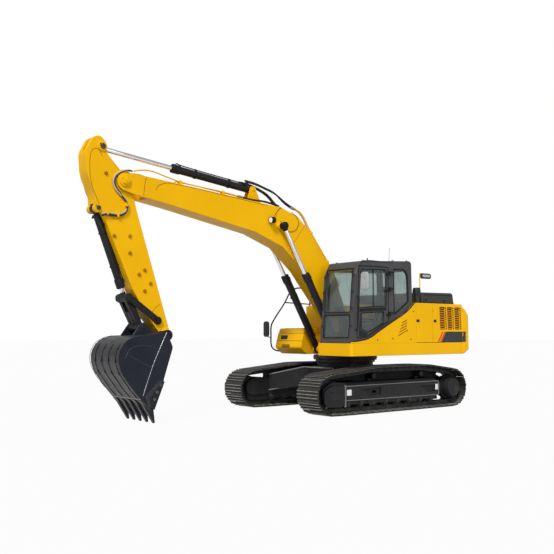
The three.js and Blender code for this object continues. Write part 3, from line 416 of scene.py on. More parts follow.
def turned(profile, centre, sides=40):
    """A turned part about an axis along Y: spins a line of (across, radius) points once round."""
    bpy.ops.object.select_all(action="DESELECT")
    bpy.ops.mesh.primitive_plane_add(size=0.01, location=(0, 0, 0))
    made = bpy.context.object
    bpy.ops.object.mode_set(mode="EDIT")
    bpy.ops.mesh.select_all(action="SELECT")
    bpy.ops.mesh.merge(type="CENTER")
    across, radius = profile[0]
    bpy.ops.transform.translate(value=(0, across, radius))
    for (y0, r0), (y1, r1) in zip(profile, profile[1:]):
        bpy.ops.mesh.extrude_vertices_move(TRANSFORM_OT_translate={"value": (0, y1 - y0, r1 - r0)})
    bpy.ops.mesh.select_all(action="SELECT")
    bpy.ops.mesh.spin(steps=sides, angle=2 * math.pi, center=(0, 0, 0), axis=(0, 1, 0))
    bpy.ops.mesh.select_all(action="SELECT")
    bpy.ops.mesh.remove_doubles(threshold=0.00005)
    bpy.ops.mesh.normals_make_consistent(inside=False)
    bpy.ops.object.mode_set(mode="OBJECT")
    made.location = centre
    alone(made)
    bpy.ops.object.transform_apply(location=True, rotation=False, scale=False)
    bpy.ops.object.shade_smooth_by_angle(angle=math.radians(34))
    return made


def both_ways(half):
    """A profile and its mirror, from -y to +y."""
    return [(-y, r) for y, r in half] + [(y, r) for y, r in reversed(half)]


ROLLER_HALF = [(0.175, 0.0), (0.175, 0.04), (0.168, 0.046), (0.15, 0.046), (0.148, 0.074), (0.118, 0.086),
               (0.112, 0.104), (0.096, 0.104), (0.09, 0.088)]
IDLER_HALF = [(0.112, 0.0), (0.112, 0.06), (0.104, 0.07), (0.084, 0.076), (0.072, 0.15), (0.078, 0.205),
              (0.082, 0.236), (0.08, 0.243), (0.045, 0.246), (0.04, 0.262)]
DRIVE_PROFILE = [(0.04, 0.0), (0.04, 0.245), (0.06, 0.25), (0.08, 0.246), (0.084, 0.225), (0.15, 0.212),
                 (0.196, 0.206), (0.204, 0.202), (0.262, 0.192), (0.272, 0.18),
                 (0.275, 0.168), (0.275, 0.074), (0.279, 0.066), (0.28, 0.0)]
CAP_BOLT_CIRCLE = 0.118
roller_steel = enamel("roller_steel", (0.012, 0.012, 0.013), (0.026, 0.024, 0.022), rough=(0.36, 0.6),
                      dust=(0.07, 0.062, 0.052), dust_share=0.6, dust_top=0.9, scuff=(0.16, 0.155, 0.15),
                      scuff_share=0.55, coat=0.0)

for hand, side in SIDES.items():
    middle = side * GAUGE / 2
    rollers = [turned(both_ways(ROLLER_HALF), spot(x, middle, ROLLER_Z), 28) for x in ROLLER_X]
    belong(joined(rollers), f"lower_rollers_{hand}", "undercarriage", roller_steel)
    idler = turned(both_ways(IDLER_HALF), spot(IDLER_X, middle, IDLER_Z), 48)
    belong(idler, f"front_idler_{hand}", "undercarriage", roller_steel)
    about = spot(DRIVE_X, middle, DRIVE_Z)
    drive = turned([(y * side, r) for y, r in DRIVE_PROFILE], about, 48)
    cap_bolt = drum(about + Vector((CAP_BOLT_CIRCLE, side * 0.262, 0)),
                    about + Vector((CAP_BOLT_CIRCLE, side * 0.281, 0)), 0.011, 6)
    cap_bolts = repeated(cap_bolt, [Matrix.Translation(about) @ Matrix.Rotation(k * math.pi / 6, 4, "Y")
                                    @ Matrix.Translation(-about) for k in range(12)])
    belong(joined([drive, cap_bolts]), f"final_drive_{hand}", "undercarriage", black_enamel)
    dressed(f"sprocket_{hand}", f"drive_sprocket_{hand}", roller_steel, 0.004)

# ---- Tracks: 49 triple grouser shoes a side, each a rolled plate with three ridges, held by four bolts
# to a pair of forged links. Bare steel that wears bright on the ridges and dusty between them; the ridges
# carry painted highlight too.
SHOE_COUNT = 49
SHOE_HALF = 0.3
SHOE_PLATE = 0.012
RIDGE = 0.02
LINK_TO_SHOE = 0.058
CHAIN_CIRCLES = ((IDLER_X, IDLER_Z, 0.305), (DRIVE_X, DRIVE_Z, 0.315), (0.42, 0.715, 0.113),
                 (-1.0, 0.715, 0.113), (-1.34, 0.22, 0.13), (1.34, 0.22, 0.13))


def tight_loop(circles):
    """The shortest loop round all the circles, as points, anticlockwise."""
    points = sorted((x + r * math.cos(k * math.pi / 36), z + r * math.sin(k * math.pi / 36))
                    for x, z, r in circles for k in range(72))

    def chain(row):
        kept = []
        for p in row:
            while len(kept) > 1 and ((kept[-1][0] - kept[-2][0]) * (p[1] - kept[-2][1])
                                     - (kept[-1][1] - kept[-2][1]) * (p[0] - kept[-2][0])) <= 0:
                kept.pop()
            kept.append(p)
        return kept[:-1]
    return chain(points) + chain(points[::-1])


def evenly(loop, count):
    """Evenly spaced points along a closed loop."""
    closed = loop + loop[:1]
    runs = [math.dist(a, b) for a, b in zip(closed, closed[1:])]
    step = sum(runs) / count
    found, at, gone = [], 0, 0.0
    for i in range(count):
        while gone + runs[at] < i * step:
            gone += runs[at]
            at += 1
        share = (i * step - gone) / runs[at]
        found.append(Vector(closed[at]).lerp(Vector(closed[at + 1]), share))
    return found


link_pins = evenly(tight_loop(CHAIN_CIRCLES), SHOE_COUNT)
PITCH = (link_pins[1] - link_pins[0]).length
shoe_steel = enamel("shoe_steel", (0.02, 0.0195, 0.019), (0.042, 0.04, 0.037), rough=(0.42, 0.7),
                    dust=(0.065, 0.06, 0.052), dust_top=1.1, dust_share=0.5, scuff=(0.16, 0.15, 0.14),
                    scuff_share=0.35, coat=0.0, peel=0.3, shine=0.2)
# Ridge tops: worn bare steel, made lighter still as painted highlight where light catches them.
ridge_steel = enamel("ridge_steel", (0.46, 0.45, 0.43), (0.24, 0.23, 0.215), rough=(0.32, 0.5),
                     dust=(0.14, 0.13, 0.115), dust_share=0.3, scuff=(0.7, 0.69, 0.66),
                     scuff_share=0.6, coat=0.0, peel=0.3)
ridge_steel.node_tree.nodes["Principled BSDF"].inputs["Metallic"].default_value = 0.6
# Dust and polish lighten what faces up.
nodes, links = shoe_steel.node_tree.nodes, shoe_steel.node_tree.links
shader = nodes["Principled BSDF"]
bare = shader.inputs["Base Color"].links[0].from_socket
facing = nodes.new("ShaderNodeTexCoord")
turn = nodes.new("ShaderNodeSeparateXYZ")
links.new(facing.outputs["Normal"], turn.inputs["Vector"])
upward = nodes.new("ShaderNodeMapRange")
upward.inputs["From Min"].default_value = 0.7
upward.inputs["From Max"].default_value = 0.98
links.new(turn.outputs["Z"], upward.inputs["Value"])
settled = multiplied(nodes, links, upward.outputs["Result"], mottled(nodes, links, 14, 5, 0.15, 0.6))
links.new(blended(nodes, links, settled, bare, (0.26, 0.252, 0.24)), shader.inputs["Base Color"])
RIDGE_COLUMNS = (3, 7, 11)
SHOE_COLUMNS = 14
SHOE_LAP = 1.18
SHOE_LIP = 0.014


def pick_faces(thing, test):
    """Opens a piece in edit mode with only the faces that pass the test selected."""
    alone(thing)
    bpy.ops.object.mode_set(mode="EDIT")
    bpy.ops.mesh.select_mode(type="FACE")
    bpy.ops.mesh.select_all(action="DESELECT")
    bpy.ops.object.mode_set(mode="OBJECT")
    for face in thing.data.polygons:
        face.select = test(face)
    bpy.ops.object.mode_set(mode="EDIT")


def make_shoe():
    """One shoe at the origin: x along the chain, z outwards from the pin line."""
    bpy.ops.object.select_all(action="DESELECT")
    bpy.ops.mesh.primitive_grid_add(x_subdivisions=SHOE_COLUMNS, y_subdivisions=1, size=1,
                                    location=(PITCH / 2, 0, LINK_TO_SHOE))
    made = bpy.context.object
    made.scale = (PITCH * SHOE_LAP, 2 * SHOE_HALF, 1)
    bpy.ops.object.transform_apply(location=True, rotation=False, scale=True)
    use(made, "SOLIDIFY", thickness=SHOE_PLATE, offset=1)
    made.data.materials.append(shoe_steel)
    made.data.materials.append(ridge_steel)
    start, width = PITCH / 2 * (1 - SHOE_LAP), PITCH * SHOE_LAP / SHOE_COLUMNS

    def on_a_ridge(face):
        top = face.normal.z > 0.9 and face.center.z > LINK_TO_SHOE + SHOE_PLATE / 2
        return top and int((face.center.x - start) / width) in RIDGE_COLUMNS

    pick_faces(made, on_a_ridge)
    bpy.ops.mesh.extrude_region_move(TRANSFORM_OT_translate={"value": (0, 0, RIDGE)})
    bpy.ops.object.mode_set(mode="OBJECT")
    for face in made.data.polygons:
        face.material_index = int(face.select)
    for column in RIDGE_COLUMNS:
        middle = start + width * (column + 0.5)
        pick_faces(made, lambda face: face.center.z > LINK_TO_SHOE + SHOE_PLATE + RIDGE * 0.9
                   and abs(face.center.x - middle) < width / 2)
        bpy.ops.transform.resize(value=(0.75, 0.985, 1), center_override=(middle, 0, 0))
        bpy.ops.object.mode_set(mode="OBJECT")
    pick_faces(made, lambda face: face.center.x < start + width * 1.6)
    bpy.ops.transform.translate(value=(0, 0, -SHOE_LIP))
    bpy.ops.object.mode_set(mode="OBJECT")
    bolts = []
    for x in (0.37, 0.71):
        for y in (-0.085, 0.085):
            bolt = drum((PITCH * x, y, LINK_TO_SHOE + SHOE_PLATE - 0.002),
                        (PITCH * x, y, LINK_TO_SHOE + 0.022), 0.013, 6)
            bolt.data.materials.append(shoe_steel)
            bolts.append(bolt)
    return joined([made] + bolts)


def make_link():
    """The pair of forged link plates and the pin bushing of one pitch, at the origin."""
    plates = []
    for y in (-0.072, 0.072):
        bar_ = block((-0.03, y - 0.017, -0.038), (PITCH + 0.022, y + 0.017, LINK_TO_SHOE), 0.01)
        plates.append(bar_)
        plates.append(drum((PITCH, y - 0.021, 0), (PITCH, y + 0.021, 0), 0.036, 14, 0.003))
    bushing = drum((0, -0.088, 0), (0, 0.088, 0), 0.024, 14, 0.002)
    made = joined(plates + [bushing])
    made.data.materials.clear()
    made.data.materials.append(roller_steel)
    return made


shoe_and_links = joined([make_shoe(), make_link()])
bpy.ops.object.transform_apply(location=True, rotation=True, scale=True)
for hand, side in SIDES.items():
    places = []
    for i, pin in enumerate(link_pins):
        ahead = (link_pins[(i + 1) % SHOE_COUNT] - pin).normalized()
        frame_of_link = Matrix((
            (ahead.x, 0, ahead.y, CENTRE.x + pin.x),
            (0, -1, 0, CENTRE.y + side * GAUGE / 2),
            (ahead.y, 0, -ahead.x, pin.y),
            (0, 0, 0, 1)))
        places.append(frame_of_link)
    alone(shoe_and_links)
    bpy.ops.object.duplicate()
    loop = repeated(bpy.context.object, places)
    belong(loop, f"track_chain_{hand}", "undercarriage", None, [f"track_{hand}"])
bpy.data.objects.remove(shoe_and_links)

# ---- Upper structure: the revolving frame, its skirts, the engine bay and the counterweight. Plate and
# cast steel in amber enamel, bolted to the frame, with thin dark gaps where panels and doors meet.
amber_enamel = enamel("amber_enamel", (0.87, 0.468, 0.0003), (0.82, 0.428, 0.0003), rough=(0.34, 0.48),
                      dust=(0.55, 0.33, 0.04), dust_top=1.5, dust_share=0.18, scuff=(0.9, 0.55, 0.03),
                      scuff_share=0.12, coat=0.02, shine=0.1)

for node, edge in (("revolving_frame", 0.008), ("counterweight", 0.022), ("engine_bay_frame", 0.005),
                   ("fuel_tank", 0.022), ("hydraulic_tank", 0.022)):
    dressed(node, f"{node}_steelwork", amber_enamel, edge)

SIDE = 1.37
LIFTING_EYES = ((-2.56, 0.8), (-2.56, -0.8))


def moulded(name, colour, shade, rough=(0.45, 0.65), grain=420, depth=0.25, shine=0.4):
    """Moulded plastic or rubber: a slight drift of tone and a fine pebbled grain."""
    made, nodes, links, shader = material_named(name)
    tone = blended(nodes, links, mottled(nodes, links, 6, 4, 0.35, 0.65), colour, shade)
    links.new(tone, shader.inputs["Base Color"])
    rough_between(nodes, links, shader, mottled(nodes, links, 14, 3, 0.3, 0.7), *rough)
    shader.inputs["Specular IOR Level"].default_value = shine
    bumped(nodes, links, shader, mottled(nodes, links, grain, 2, 0.3, 0.7), depth, 0.0006)
    return made


seal_rubber = moulded("seal_rubber", (0.006, 0.006, 0.006), (0.011, 0.011, 0.011),
                      rough=(0.5, 0.75), shine=0.3)


def placed(thing, name, body, material):
    """A small new piece that rides on a body and stands for no CAD node."""
    return belong(thing, name, body, material)


eyes = []
for x, y in LIFTING_EYES:
    bpy.ops.object.select_all(action="DESELECT")
    bpy.ops.mesh.primitive_torus_add(major_radius=0.05, minor_radius=0.015, major_segments=28,
                                     minor_segments=10, location=spot(x, y, 2.208),
                                     rotation=(math.pi / 2, 0, 0))
    bpy.ops.object.shade_smooth_by_angle(angle=math.radians(60))
    eyes.append(bpy.context.object)
placed(joined(eyes), "lifting_eyes", "upper", black_enamel)

skirt_seal = block(spot(-2.28, SIDE - 0.028, 1.3635), spot(-0.76, SIDE - 0.002, 1.3705), 0.001)
placed(skirt_seal, "door_sill_seal", "upper", seal_rubber)

# ---- Left doors: pressed steel leaves on hinges at their rear edges. The rear one has three columns of
# louvres that let the cooling air in, and both shut on rubber with a paddle latch.
LOUVRE_COLUMNS = ((-1.7, -1.512), (-1.95, -1.768), (-2.2, -2.015))
LOUVRE_Z = (1.64, 2.128)
LOUVRE_LEAN = 0.02
LOUVRE_COUNT = 10


def moved(x, y, z):
    return Matrix.Translation((x, y, z))


dressed("left_door_front", "front_service_door", amber_enamel, 0.005)
dressed("left_door_rear", "louvred_door", amber_enamel, 0.003, has_openings=True)
louvre_step = (LOUVRE_Z[1] - LOUVRE_Z[0]) / LOUVRE_COUNT
slats = []
for rear, front in LOUVRE_COLUMNS:
    slat = block(spot(rear - 0.013, SIDE - 0.034, LOUVRE_Z[0] + 0.01),
                 spot(front - 0.007, SIDE - 0.0295, LOUVRE_Z[0] + 0.029), 0.001, 1)
    alone(slat)
    bpy.ops.object.mode_set(mode="EDIT")
    bpy.ops.mesh.select_all(action="SELECT")
    bpy.ops.transform.rotate(value=math.radians(38), orient_axis="X",
                             center_override=spot(rear, SIDE - 0.03, LOUVRE_Z[0] + 0.03))
    bpy.ops.object.mode_set(mode="OBJECT")
    climb = [moved(LOUVRE_LEAN * k / LOUVRE_COUNT, 0, k * louvre_step) for k in range(LOUVRE_COUNT)]
    slats.append(repeated(slat, climb))
placed(joined(slats), "louvre_slats", "left_door_rear", amber_enamel)
# The screens behind the louvres are a dark red-brown: painted shade for the dark inside the openings.
shaded_mesh = moulded("shaded_mesh", (0.12, 0.028, 0.003), (0.165, 0.042, 0.004), rough=(0.6, 0.8))
screens = [block(spot(rear - 0.014, SIDE - 0.052, LOUVRE_Z[0] - 0.004),
                 spot(front + 0.014, SIDE - 0.04, LOUVRE_Z[1] + 0.004), 0.001) for rear,
           front in LOUVRE_COLUMNS]
placed(joined(screens), "louvre_screens", "left_door_rear", shaded_mesh)
# Flush dark strips on the door's face at the rear of each louvre: painted shade that widens each opening's
# dark.
louvre_mouths = []
for rear, front in LOUVRE_COLUMNS:
    mouth = block(spot(rear - 0.042, SIDE - 0.001, LOUVRE_Z[0] + 0.008),
                  spot(rear - 0.002, SIDE + 0.0015, LOUVRE_Z[0] + 0.04))
    climb = [moved(LOUVRE_LEAN * k / LOUVRE_COUNT, 0, k * louvre_step) for k in range(LOUVRE_COUNT)]
    louvre_mouths.append(repeated(mouth, climb))
placed(joined(louvre_mouths), "louvre_mouths", "left_door_rear", shaded_mesh)


def outline_plate(outline, near, far, edge=0.0, segments=2):
    """A flat plate with an outline of (x, z) corners, between two distances to the left."""
    bpy.ops.object.select_all(action="DESELECT")
    bpy.ops.mesh.primitive_plane_add(size=0.01, location=(0, 0, 0))
    made = bpy.context.object
    bpy.ops.object.mode_set(mode="EDIT")
    bpy.ops.mesh.select_mode(type="VERT")
    bpy.ops.mesh.select_all(action="SELECT")
    bpy.ops.mesh.merge(type="CENTER")
    bpy.ops.transform.translate(value=spot(outline[0][0], near, outline[0][1]))
    for (x0, z0), (x1, z1) in zip(outline, outline[1:] + outline[:1]):
        bpy.ops.mesh.extrude_vertices_move(TRANSFORM_OT_translate={"value": (x1 - x0, 0, z1 - z0)})
    bpy.ops.mesh.select_all(action="SELECT")
    bpy.ops.mesh.remove_doubles(threshold=0.00005)
    bpy.ops.mesh.edge_face_add()
    bpy.ops.mesh.select_all(action="SELECT")
    bpy.ops.mesh.extrude_region_move(TRANSFORM_OT_translate={"value": (0, far - near, 0)})
    bpy.ops.mesh.select_all(action="SELECT")
    bpy.ops.mesh.normals_make_consistent(inside=False)
    bpy.ops.object.mode_set(mode="OBJECT")
    if edge > 0:
        soften(made, edge, segments=segments)
    return made


badge_black = moulded("badge_black", (0.016, 0.017, 0.019), (0.022, 0.023, 0.025),
                      rough=(0.25, 0.35), depth=0.05)
badge_red = moulded("badge_red", (0.7, 0.035, 0.004), (0.62, 0.028, 0.004), rough=(0.25, 0.35), depth=0.05)
plain_badge = outline_plate([(-1.555, 1.372), (-2.272, 1.372), (-2.272, 1.598), (-1.715, 1.598)],
                            SIDE - 0.001, SIDE + 0.0015)
placed(plain_badge, "plain_side_badge", "left_door_rear", badge_black)
tail_badge = block(spot(-2.39, SIDE - 0.001, 1.372), spot(-2.283, SIDE + 0.0015, 1.598), 0.0)
placed(tail_badge, "plain_tail_badge", "upper", badge_black)
stripes = [outline_plate([(x, 1.372), (x - 0.045, 1.372), (x - 0.205, 1.598), (x - 0.16, 1.598)],
                         SIDE - 0.001, SIDE + 0.0015) for x in (-1.5, -1.425)]
placed(joined(stripes), "badge_stripes", "left_door_rear", badge_red)

for body, x in (("left_door_front", -0.8), ("left_door_rear", -1.345)):
    paddle = block(spot(x - 0.045, SIDE - 0.002, 1.8), spot(x + 0.045, SIDE + 0.009, 1.85), 0.004)
    pull = block(spot(x - 0.032, SIDE + 0.008, 1.812), spot(x + 0.01, SIDE + 0.016, 1.838), 0.003)
    placed(joined([paddle, pull]), f"latch_{body}", body, seal_rubber)
for body, x, y in (("left_door_front", -1.2755, 1), ("left_door_rear", -2.2775, 1),
                   ("right_door", -2.2775, -1)):
    knuckles = [drum(spot(x, y * (SIDE + 0.01), z), spot(x, y * (SIDE + 0.01), z + 0.07), 0.0085, 14, 0.001)
                for z in (1.5, 2.05)]
    placed(joined(knuckles), f"hinges_{body}", body, amber_enamel)

# ---- Cab side panel: a pressed steel skin under the cab's swept lower edge, with five slanted vents,
# held by quarter turn studs and edged along the sweep with a black rubber strip.
SWEEP = ((-0.742, 2.215), (-0.48, 2.015), (0.01, 1.772), (0.38, 1.592), (0.64, 1.462), (0.92, 1.405),
         (1.105, 1.392))
STUDS = ((-0.02, 1.455), (-0.57, 1.44), (-0.465, 1.62), (0.42, 1.43), (-0.66, 2.02))


def pipe(points, radius, ring=3, steps=5, closed=False, handle="AUTO"):
    """A pipe, hose or strip of round section along a smooth run of points."""
    bpy.ops.object.select_all(action="DESELECT")
    bpy.ops.curve.primitive_bezier_curve_add(location=(0, 0, 0))
    made = bpy.context.object
    line = made.data.splines[0]
    line.bezier_points.add(len(points) - 2)
    line.use_cyclic_u = closed
    for knot, place in zip(line.bezier_points, points):
        knot.co = place
        knot.handle_left_type = knot.handle_right_type = handle
    made.data.bevel_depth = radius
    made.data.bevel_resolution = ring
    made.data.resolution_u = steps
    made.data.use_fill_caps = not closed
    bpy.ops.object.convert(target="MESH")
    made = bpy.context.object
    bpy.ops.object.shade_smooth_by_angle(angle=math.radians(50))
    return made


dressed("cab_side_panel", "swept_side_panel", amber_enamel, 0.0025, has_openings=True)
edge_strip = pipe([spot(x, SIDE - 0.008, z + 0.006) for x, z in SWEEP], 0.0125, 3, 6)
placed(edge_strip, "panel_edge_strip", "upper", seal_rubber)
studs = [drum(spot(x, SIDE - 0.001, z), spot(x, SIDE + 0.007, z), 0.014, 16, 0.002) for x, z in STUDS]
placed(joined(studs), "panel_studs", "upper", seal_rubber)

# ---- Right side: tanks, tool box and pump door. Welded plate tanks with a filler cap and a bolted cover,
# and a tool box whose hinged lid is also a step, with gritted treads to stand on.
dressed("tool_box", "tool_box_steelwork", amber_enamel, 0.006, has_openings=True)
dressed("tool_box_lid", "tool_box_cover", amber_enamel, 0.01)
dressed("right_door", "pump_door", amber_enamel, 0.005)
tread_grit = moulded("tread_grit", (0.02, 0.019, 0.018), (0.04, 0.038, 0.035), rough=(0.75, 0.95), grain=300,
                     depth=0.8)
filler = drum(spot(-0.3, -1.12, 2.185), spot(-0.3, -1.12, 2.235), 0.062, 28, 0.008)
placed(filler, "fuel_filler_cap", "upper", black_enamel)
cover = drum(spot(-1.0, -0.93, 2.185), spot(-1.0, -0.93, 2.204), 0.15, 40, 0.003)
cover_bolt = drum(spot(-1.0 + 0.128, -0.93, 2.2), spot(-1.0 + 0.128, -0.93, 2.214), 0.009, 6)
placed(joined([cover, repeated(cover_bolt, around_z(spot(-1.0, -0.93, 0), 8))]), "tank_cover", "upper",
       black_enamel)
treads = [block(spot(x0, -1.3, 2.187), spot(x1, -0.62, 2.1925), 0.001)
          for x0, x1 in ((-0.64, -0.4), (-1.32, -1.18))]
placed(joined(treads), "tank_treads", "upper", tread_grit)
lid_tread = block(spot(0.12, -1.32, 1.6755), spot(0.6, -0.56, 1.6805), 0.001)
alone(lid_tread)
bpy.ops.object.mode_set(mode="EDIT")
bpy.ops.mesh.select_all(action="SELECT")
bpy.ops.transform.rotate(value=math.radians(-0.72), orient_axis="Y", center_override=spot(0.12, 0, 1.6755))
bpy.ops.object.mode_set(mode="OBJECT")
placed(lid_tread, "lid_tread", "tool_box_lid", tread_grit)
lid_seal = block(spot(0.1, -1.355, 1.5602), spot(0.735, -0.515, 1.5676))
placed(lid_seal, "lid_seal", "upper", seal_rubber)
FRONT_TOP, FRONT_BASE = (0.748, 1.56), (0.835, 1.25)


def on_box_front(share, out):
    """A place on the tool box's sloping front: a share of the way up it, and a distance off it."""
    x = FRONT_BASE[0] + (FRONT_TOP[0] - FRONT_BASE[0]) * share
    z = FRONT_BASE[1] + (FRONT_TOP[1] - FRONT_BASE[1]) * share
    return x + out * 0.963, z + out * 0.27


for name, share0, share1, y0, y1, material in (
        ("plain_front_badge", 0.58, 0.86, -1.235, -1.01, badge_black),
        ("front_seam_strip", 0.47, 0.49, -1.369, -0.501, seal_rubber)):
    corners = [on_box_front(share0, -0.002), on_box_front(share1, -0.002), on_box_front(share1, 0.002),
               on_box_front(share0, 0.002)]
    placed(outline_plate(corners, y0, y1), name, "upper", material)
# The vent's blades are in the same dark red-brown, as painted shade for the dark between them.
grille_box = []
for k in range(4):
    low = 0.02 + 0.055 * k
    corners = [on_box_front(low, -0.002), on_box_front(low + 0.04, -0.002), on_box_front(low + 0.028, 0.006),
               on_box_front(low + 0.004, 0.003)]
    grille_box.append(outline_plate(corners, -1.15, -0.88))
placed(joined(grille_box), "front_vent_louvres", "upper", shaded_mesh)

# ---- Cab: a welded frame of pressed and rolled tube with a flat roof, in charcoal enamel. Its panes are
# bonded or held in black rubber, and the door hangs on two lift-off hinges at its rear edge.
charcoal_enamel = enamel("charcoal_enamel", (0.043, 0.043, 0.0465), (0.056, 0.056, 0.06), rough=(0.32, 0.46),
                         dust=(0.09, 0.085, 0.075), dust_top=1.8, dust_share=0.2, scuff=(0.11, 0.11, 0.115),
                         scuff_share=0.2, coat=0.1, shine=0.35)
CAB_RIGHT, CAB_LEFT = 0.42, 1.33
WINDOW_CORNER_STEPS = 4
DOOR_OPENING = ((0.96, 1.462, 0.06), (0.888, 2.9, 0.05), (0.052, 2.905, 0.03), (0.052, 1.812, 0.024),
                (0.42, 1.628, 0.1), (0.69, 1.49, 0.1))
DOOR_PANES = (((0.905, 2.065, 0.04), (0.838, 2.828, 0.04), (0.112, 2.856, 0.04), (0.108, 2.112, 0.03)),
              ((0.838, 1.64, 0.03), (0.822, 1.965, 0.02), (0.192, 2.0, 0.02), (0.192, 1.768, 0.03),
               (0.62, 1.582, 0.08)))
REAR_QUARTER = ((-0.112, 2.88, 0.03), (-0.45, 2.88, 0.06), (-0.54, 2.76, 0.08), (-0.556, 2.222, 0.06),
                (-0.118, 1.935, 0.04))
RIGHT_PANE = ((0.93, 1.56, 0.07), (0.85, 2.825, 0.07), (-0.56, 2.87, 0.07), (-0.6, 1.56, 0.07))
FRONT_PANE_LEFT, FRONT_PANE_RIGHT = 1.245, 0.505
FRONT_PANE_Z = ((1.478, 1.925), (1.978, 2.842))


def corner_rounded(corners):
    """An outline's corners (u, v, radius), each with a radius drawn as a short run of points."""
    drawn = []
    for i, (u, v, radius) in enumerate(corners):
        corner = Vector((u, v))
        back = Vector(corners[i - 1][:2]) - corner
        ahead = Vector(corners[(i + 1) % len(corners)][:2]) - corner
        run = min(radius, 0.45 * back.length, 0.45 * ahead.length)
        start, end = corner + back.normalized() * run, corner + ahead.normalized() * run
        for k in range(WINDOW_CORNER_STEPS + 1):
            t = k / WINDOW_CORNER_STEPS
            drawn.append(start * (1 - t) ** 2 + corner * 2 * t * (1 - t) + end * t ** 2)
    return drawn


def rubber_frame(name, corners, y, radius, body):
    """A rubber section round a side opening whose corners are (x, z, radius)."""
    around = [spot(p.x, y, p.y) for p in corner_rounded(corners)]
    return placed(pipe(around, radius, 2, 1, closed=True, handle="VECTOR"), name, body,
                  seal_rubber)


dressed("cab_shell", "cab_frame", charcoal_enamel, 0.012, angle=40, segments=3,
        has_openings=True)
dressed("cab_door", "cab_door_leaf", charcoal_enamel, 0.005, angle=40, has_openings=True)
dressed("roof_hatch", "roof_hatch_panel", charcoal_enamel, 0.008)
rubber_frame("door_seal", DOOR_OPENING, CAB_LEFT, 0.009, "upper")
for part, corners in zip(("upper", "lower"), DOOR_PANES):
    rubber_frame(f"door_pane_rubber_{part}", corners, CAB_LEFT - 0.004, 0.011, "cab_door")
rubber_frame("rear_quarter_rubber", REAR_QUARTER, CAB_LEFT - 0.006, 0.016, "upper")
rubber_frame("right_pane_rubber", RIGHT_PANE, CAB_RIGHT + 0.006, 0.014, "upper")
slide_rail = block(spot(0.466, CAB_LEFT - 0.024, 2.085), spot(0.484, CAB_LEFT - 0.006, 2.838), 0.003)
placed(slide_rail, "sliding_pane_rail", "cab_door", seal_rubber)
belt = outline_plate([(0.88, 1.985), (0.874, 2.045), (0.11, 2.092), (0.11, 2.022)], CAB_LEFT - 0.004,
                     CAB_LEFT + 0.003, 0.002)
placed(belt, "door_belt_panel", "cab_door", seal_rubber)
lower_dark = outline_plate([(0.905, 1.49), (0.86, 1.96), (0.842, 1.96), (0.858, 1.625), (0.64, 1.562),
                            (0.7, 1.5)], CAB_LEFT - 0.003, CAB_LEFT + 0.002, 0.001)
placed(lower_dark, "door_kick_panel", "cab_door", seal_rubber)


def front_x(z):
    """The cab's front face leans back as it rises."""
    return 1.11 + (0.985 - 1.11) * (z - 1.363) / (2.74 - 1.363)


for part, (low, high) in zip(("lower", "upper"), FRONT_PANE_Z):
    radius = 0.028
    corners = [(FRONT_PANE_RIGHT, low, radius), (FRONT_PANE_LEFT, low, radius),
               (FRONT_PANE_LEFT, high, radius), (FRONT_PANE_RIGHT, high, radius)]
    around = [spot(front_x(p.y), p.x, p.y) for p in corner_rounded(corners)]
    rubber = pipe(around, 0.013, 2, 1, closed=True, handle="VECTOR")
    placed(rubber, f"windscreen_rubber_{part}", "upper", seal_rubber)

# Panes: heat-absorbing laminated glass with a grey green tint, under a faint film that drifts across them.
pane_glass, glass_nodes, glass_links, glass_shader = material_named("pane_glass")
film = mottled(glass_nodes, glass_links, 2.2, 4, 0.4, 0.75)
glass_links.new(blended(glass_nodes, glass_links, film, (0.5, 0.585, 0.565), (0.6, 0.67, 0.65)),
                glass_shader.inputs["Base Color"])
rough_between(glass_nodes, glass_links, glass_shader, film, 0.01, 0.06)
glass_shader.inputs["Transmission Weight"].default_value = 0.93
glass_shader.inputs["IOR"].default_value = 1.45
for node in ("windscreen_lower", "windscreen_upper", "rear_window", "side_window_left", "side_window_right",
             "door_glass_upper", "door_glass_lower"):
    frame["nodes"][node].data.materials.clear()
    frame["nodes"][node].data.materials.append(pane_glass)

# ---- Cab fittings: hinges, door handle, grab rail, wiper, roof beading and aerial. Small castings and
# bent tube in black, each bolted to the cab's frame.
HINGE_LINE = (0.044, 1.38)
hinge_parts = []
for z in (1.95, 2.45, 2.78):
    hinge_parts.append(drum(spot(*HINGE_LINE, z - 0.045), spot(*HINGE_LINE, z + 0.045), 0.013, 18, 0.002))
    hinge_parts.append(block(spot(HINGE_LINE[0] - 0.006, CAB_LEFT - 0.002, z - 0.04),
                             spot(HINGE_LINE[0] + 0.066, HINGE_LINE[1] - 0.006, z - 0.002), 0.004))
placed(joined(hinge_parts), "door_hinges", "cab_door", seal_rubber)
bracket_parts = [block(spot(-0.06, CAB_LEFT - 0.002, z + 0.004),
                       spot(HINGE_LINE[0] - 0.002, 1.374, z + 0.044), 0.005)
                 for z in (1.95, 2.45, 2.78)]
placed(joined(bracket_parts), "hinge_brackets", "upper", seal_rubber)
handle_plate = block(spot(0.77, CAB_LEFT - 0.001, 2.0), spot(0.86, CAB_LEFT + 0.012, 2.036), 0.005)
handle_grip = block(spot(0.76, CAB_LEFT + 0.01, 2.008), spot(0.83, CAB_LEFT + 0.022, 2.026), 0.005)
placed(joined([handle_plate, handle_grip]), "door_handle", "cab_door", seal_rubber)
catch = drum(spot(0.135, CAB_LEFT - 0.02, 2.42), spot(0.135, CAB_LEFT - 0.006, 2.42), 0.022, 18, 0.003)
placed(catch, "pane_catch", "cab_door", seal_rubber)
grab = pipe([spot(0.985, CAB_LEFT - 0.004, 1.62), spot(0.99, CAB_LEFT + 0.05, 1.65),
             spot(0.98, CAB_LEFT + 0.055, 1.76), spot(0.958, CAB_LEFT + 0.055, 2.15),
             spot(0.945, CAB_LEFT + 0.05, 2.26), spot(0.94, CAB_LEFT - 0.004, 2.29)],
            0.013, 3, 6)
placed(grab, "grab_rail", "upper", seal_rubber)
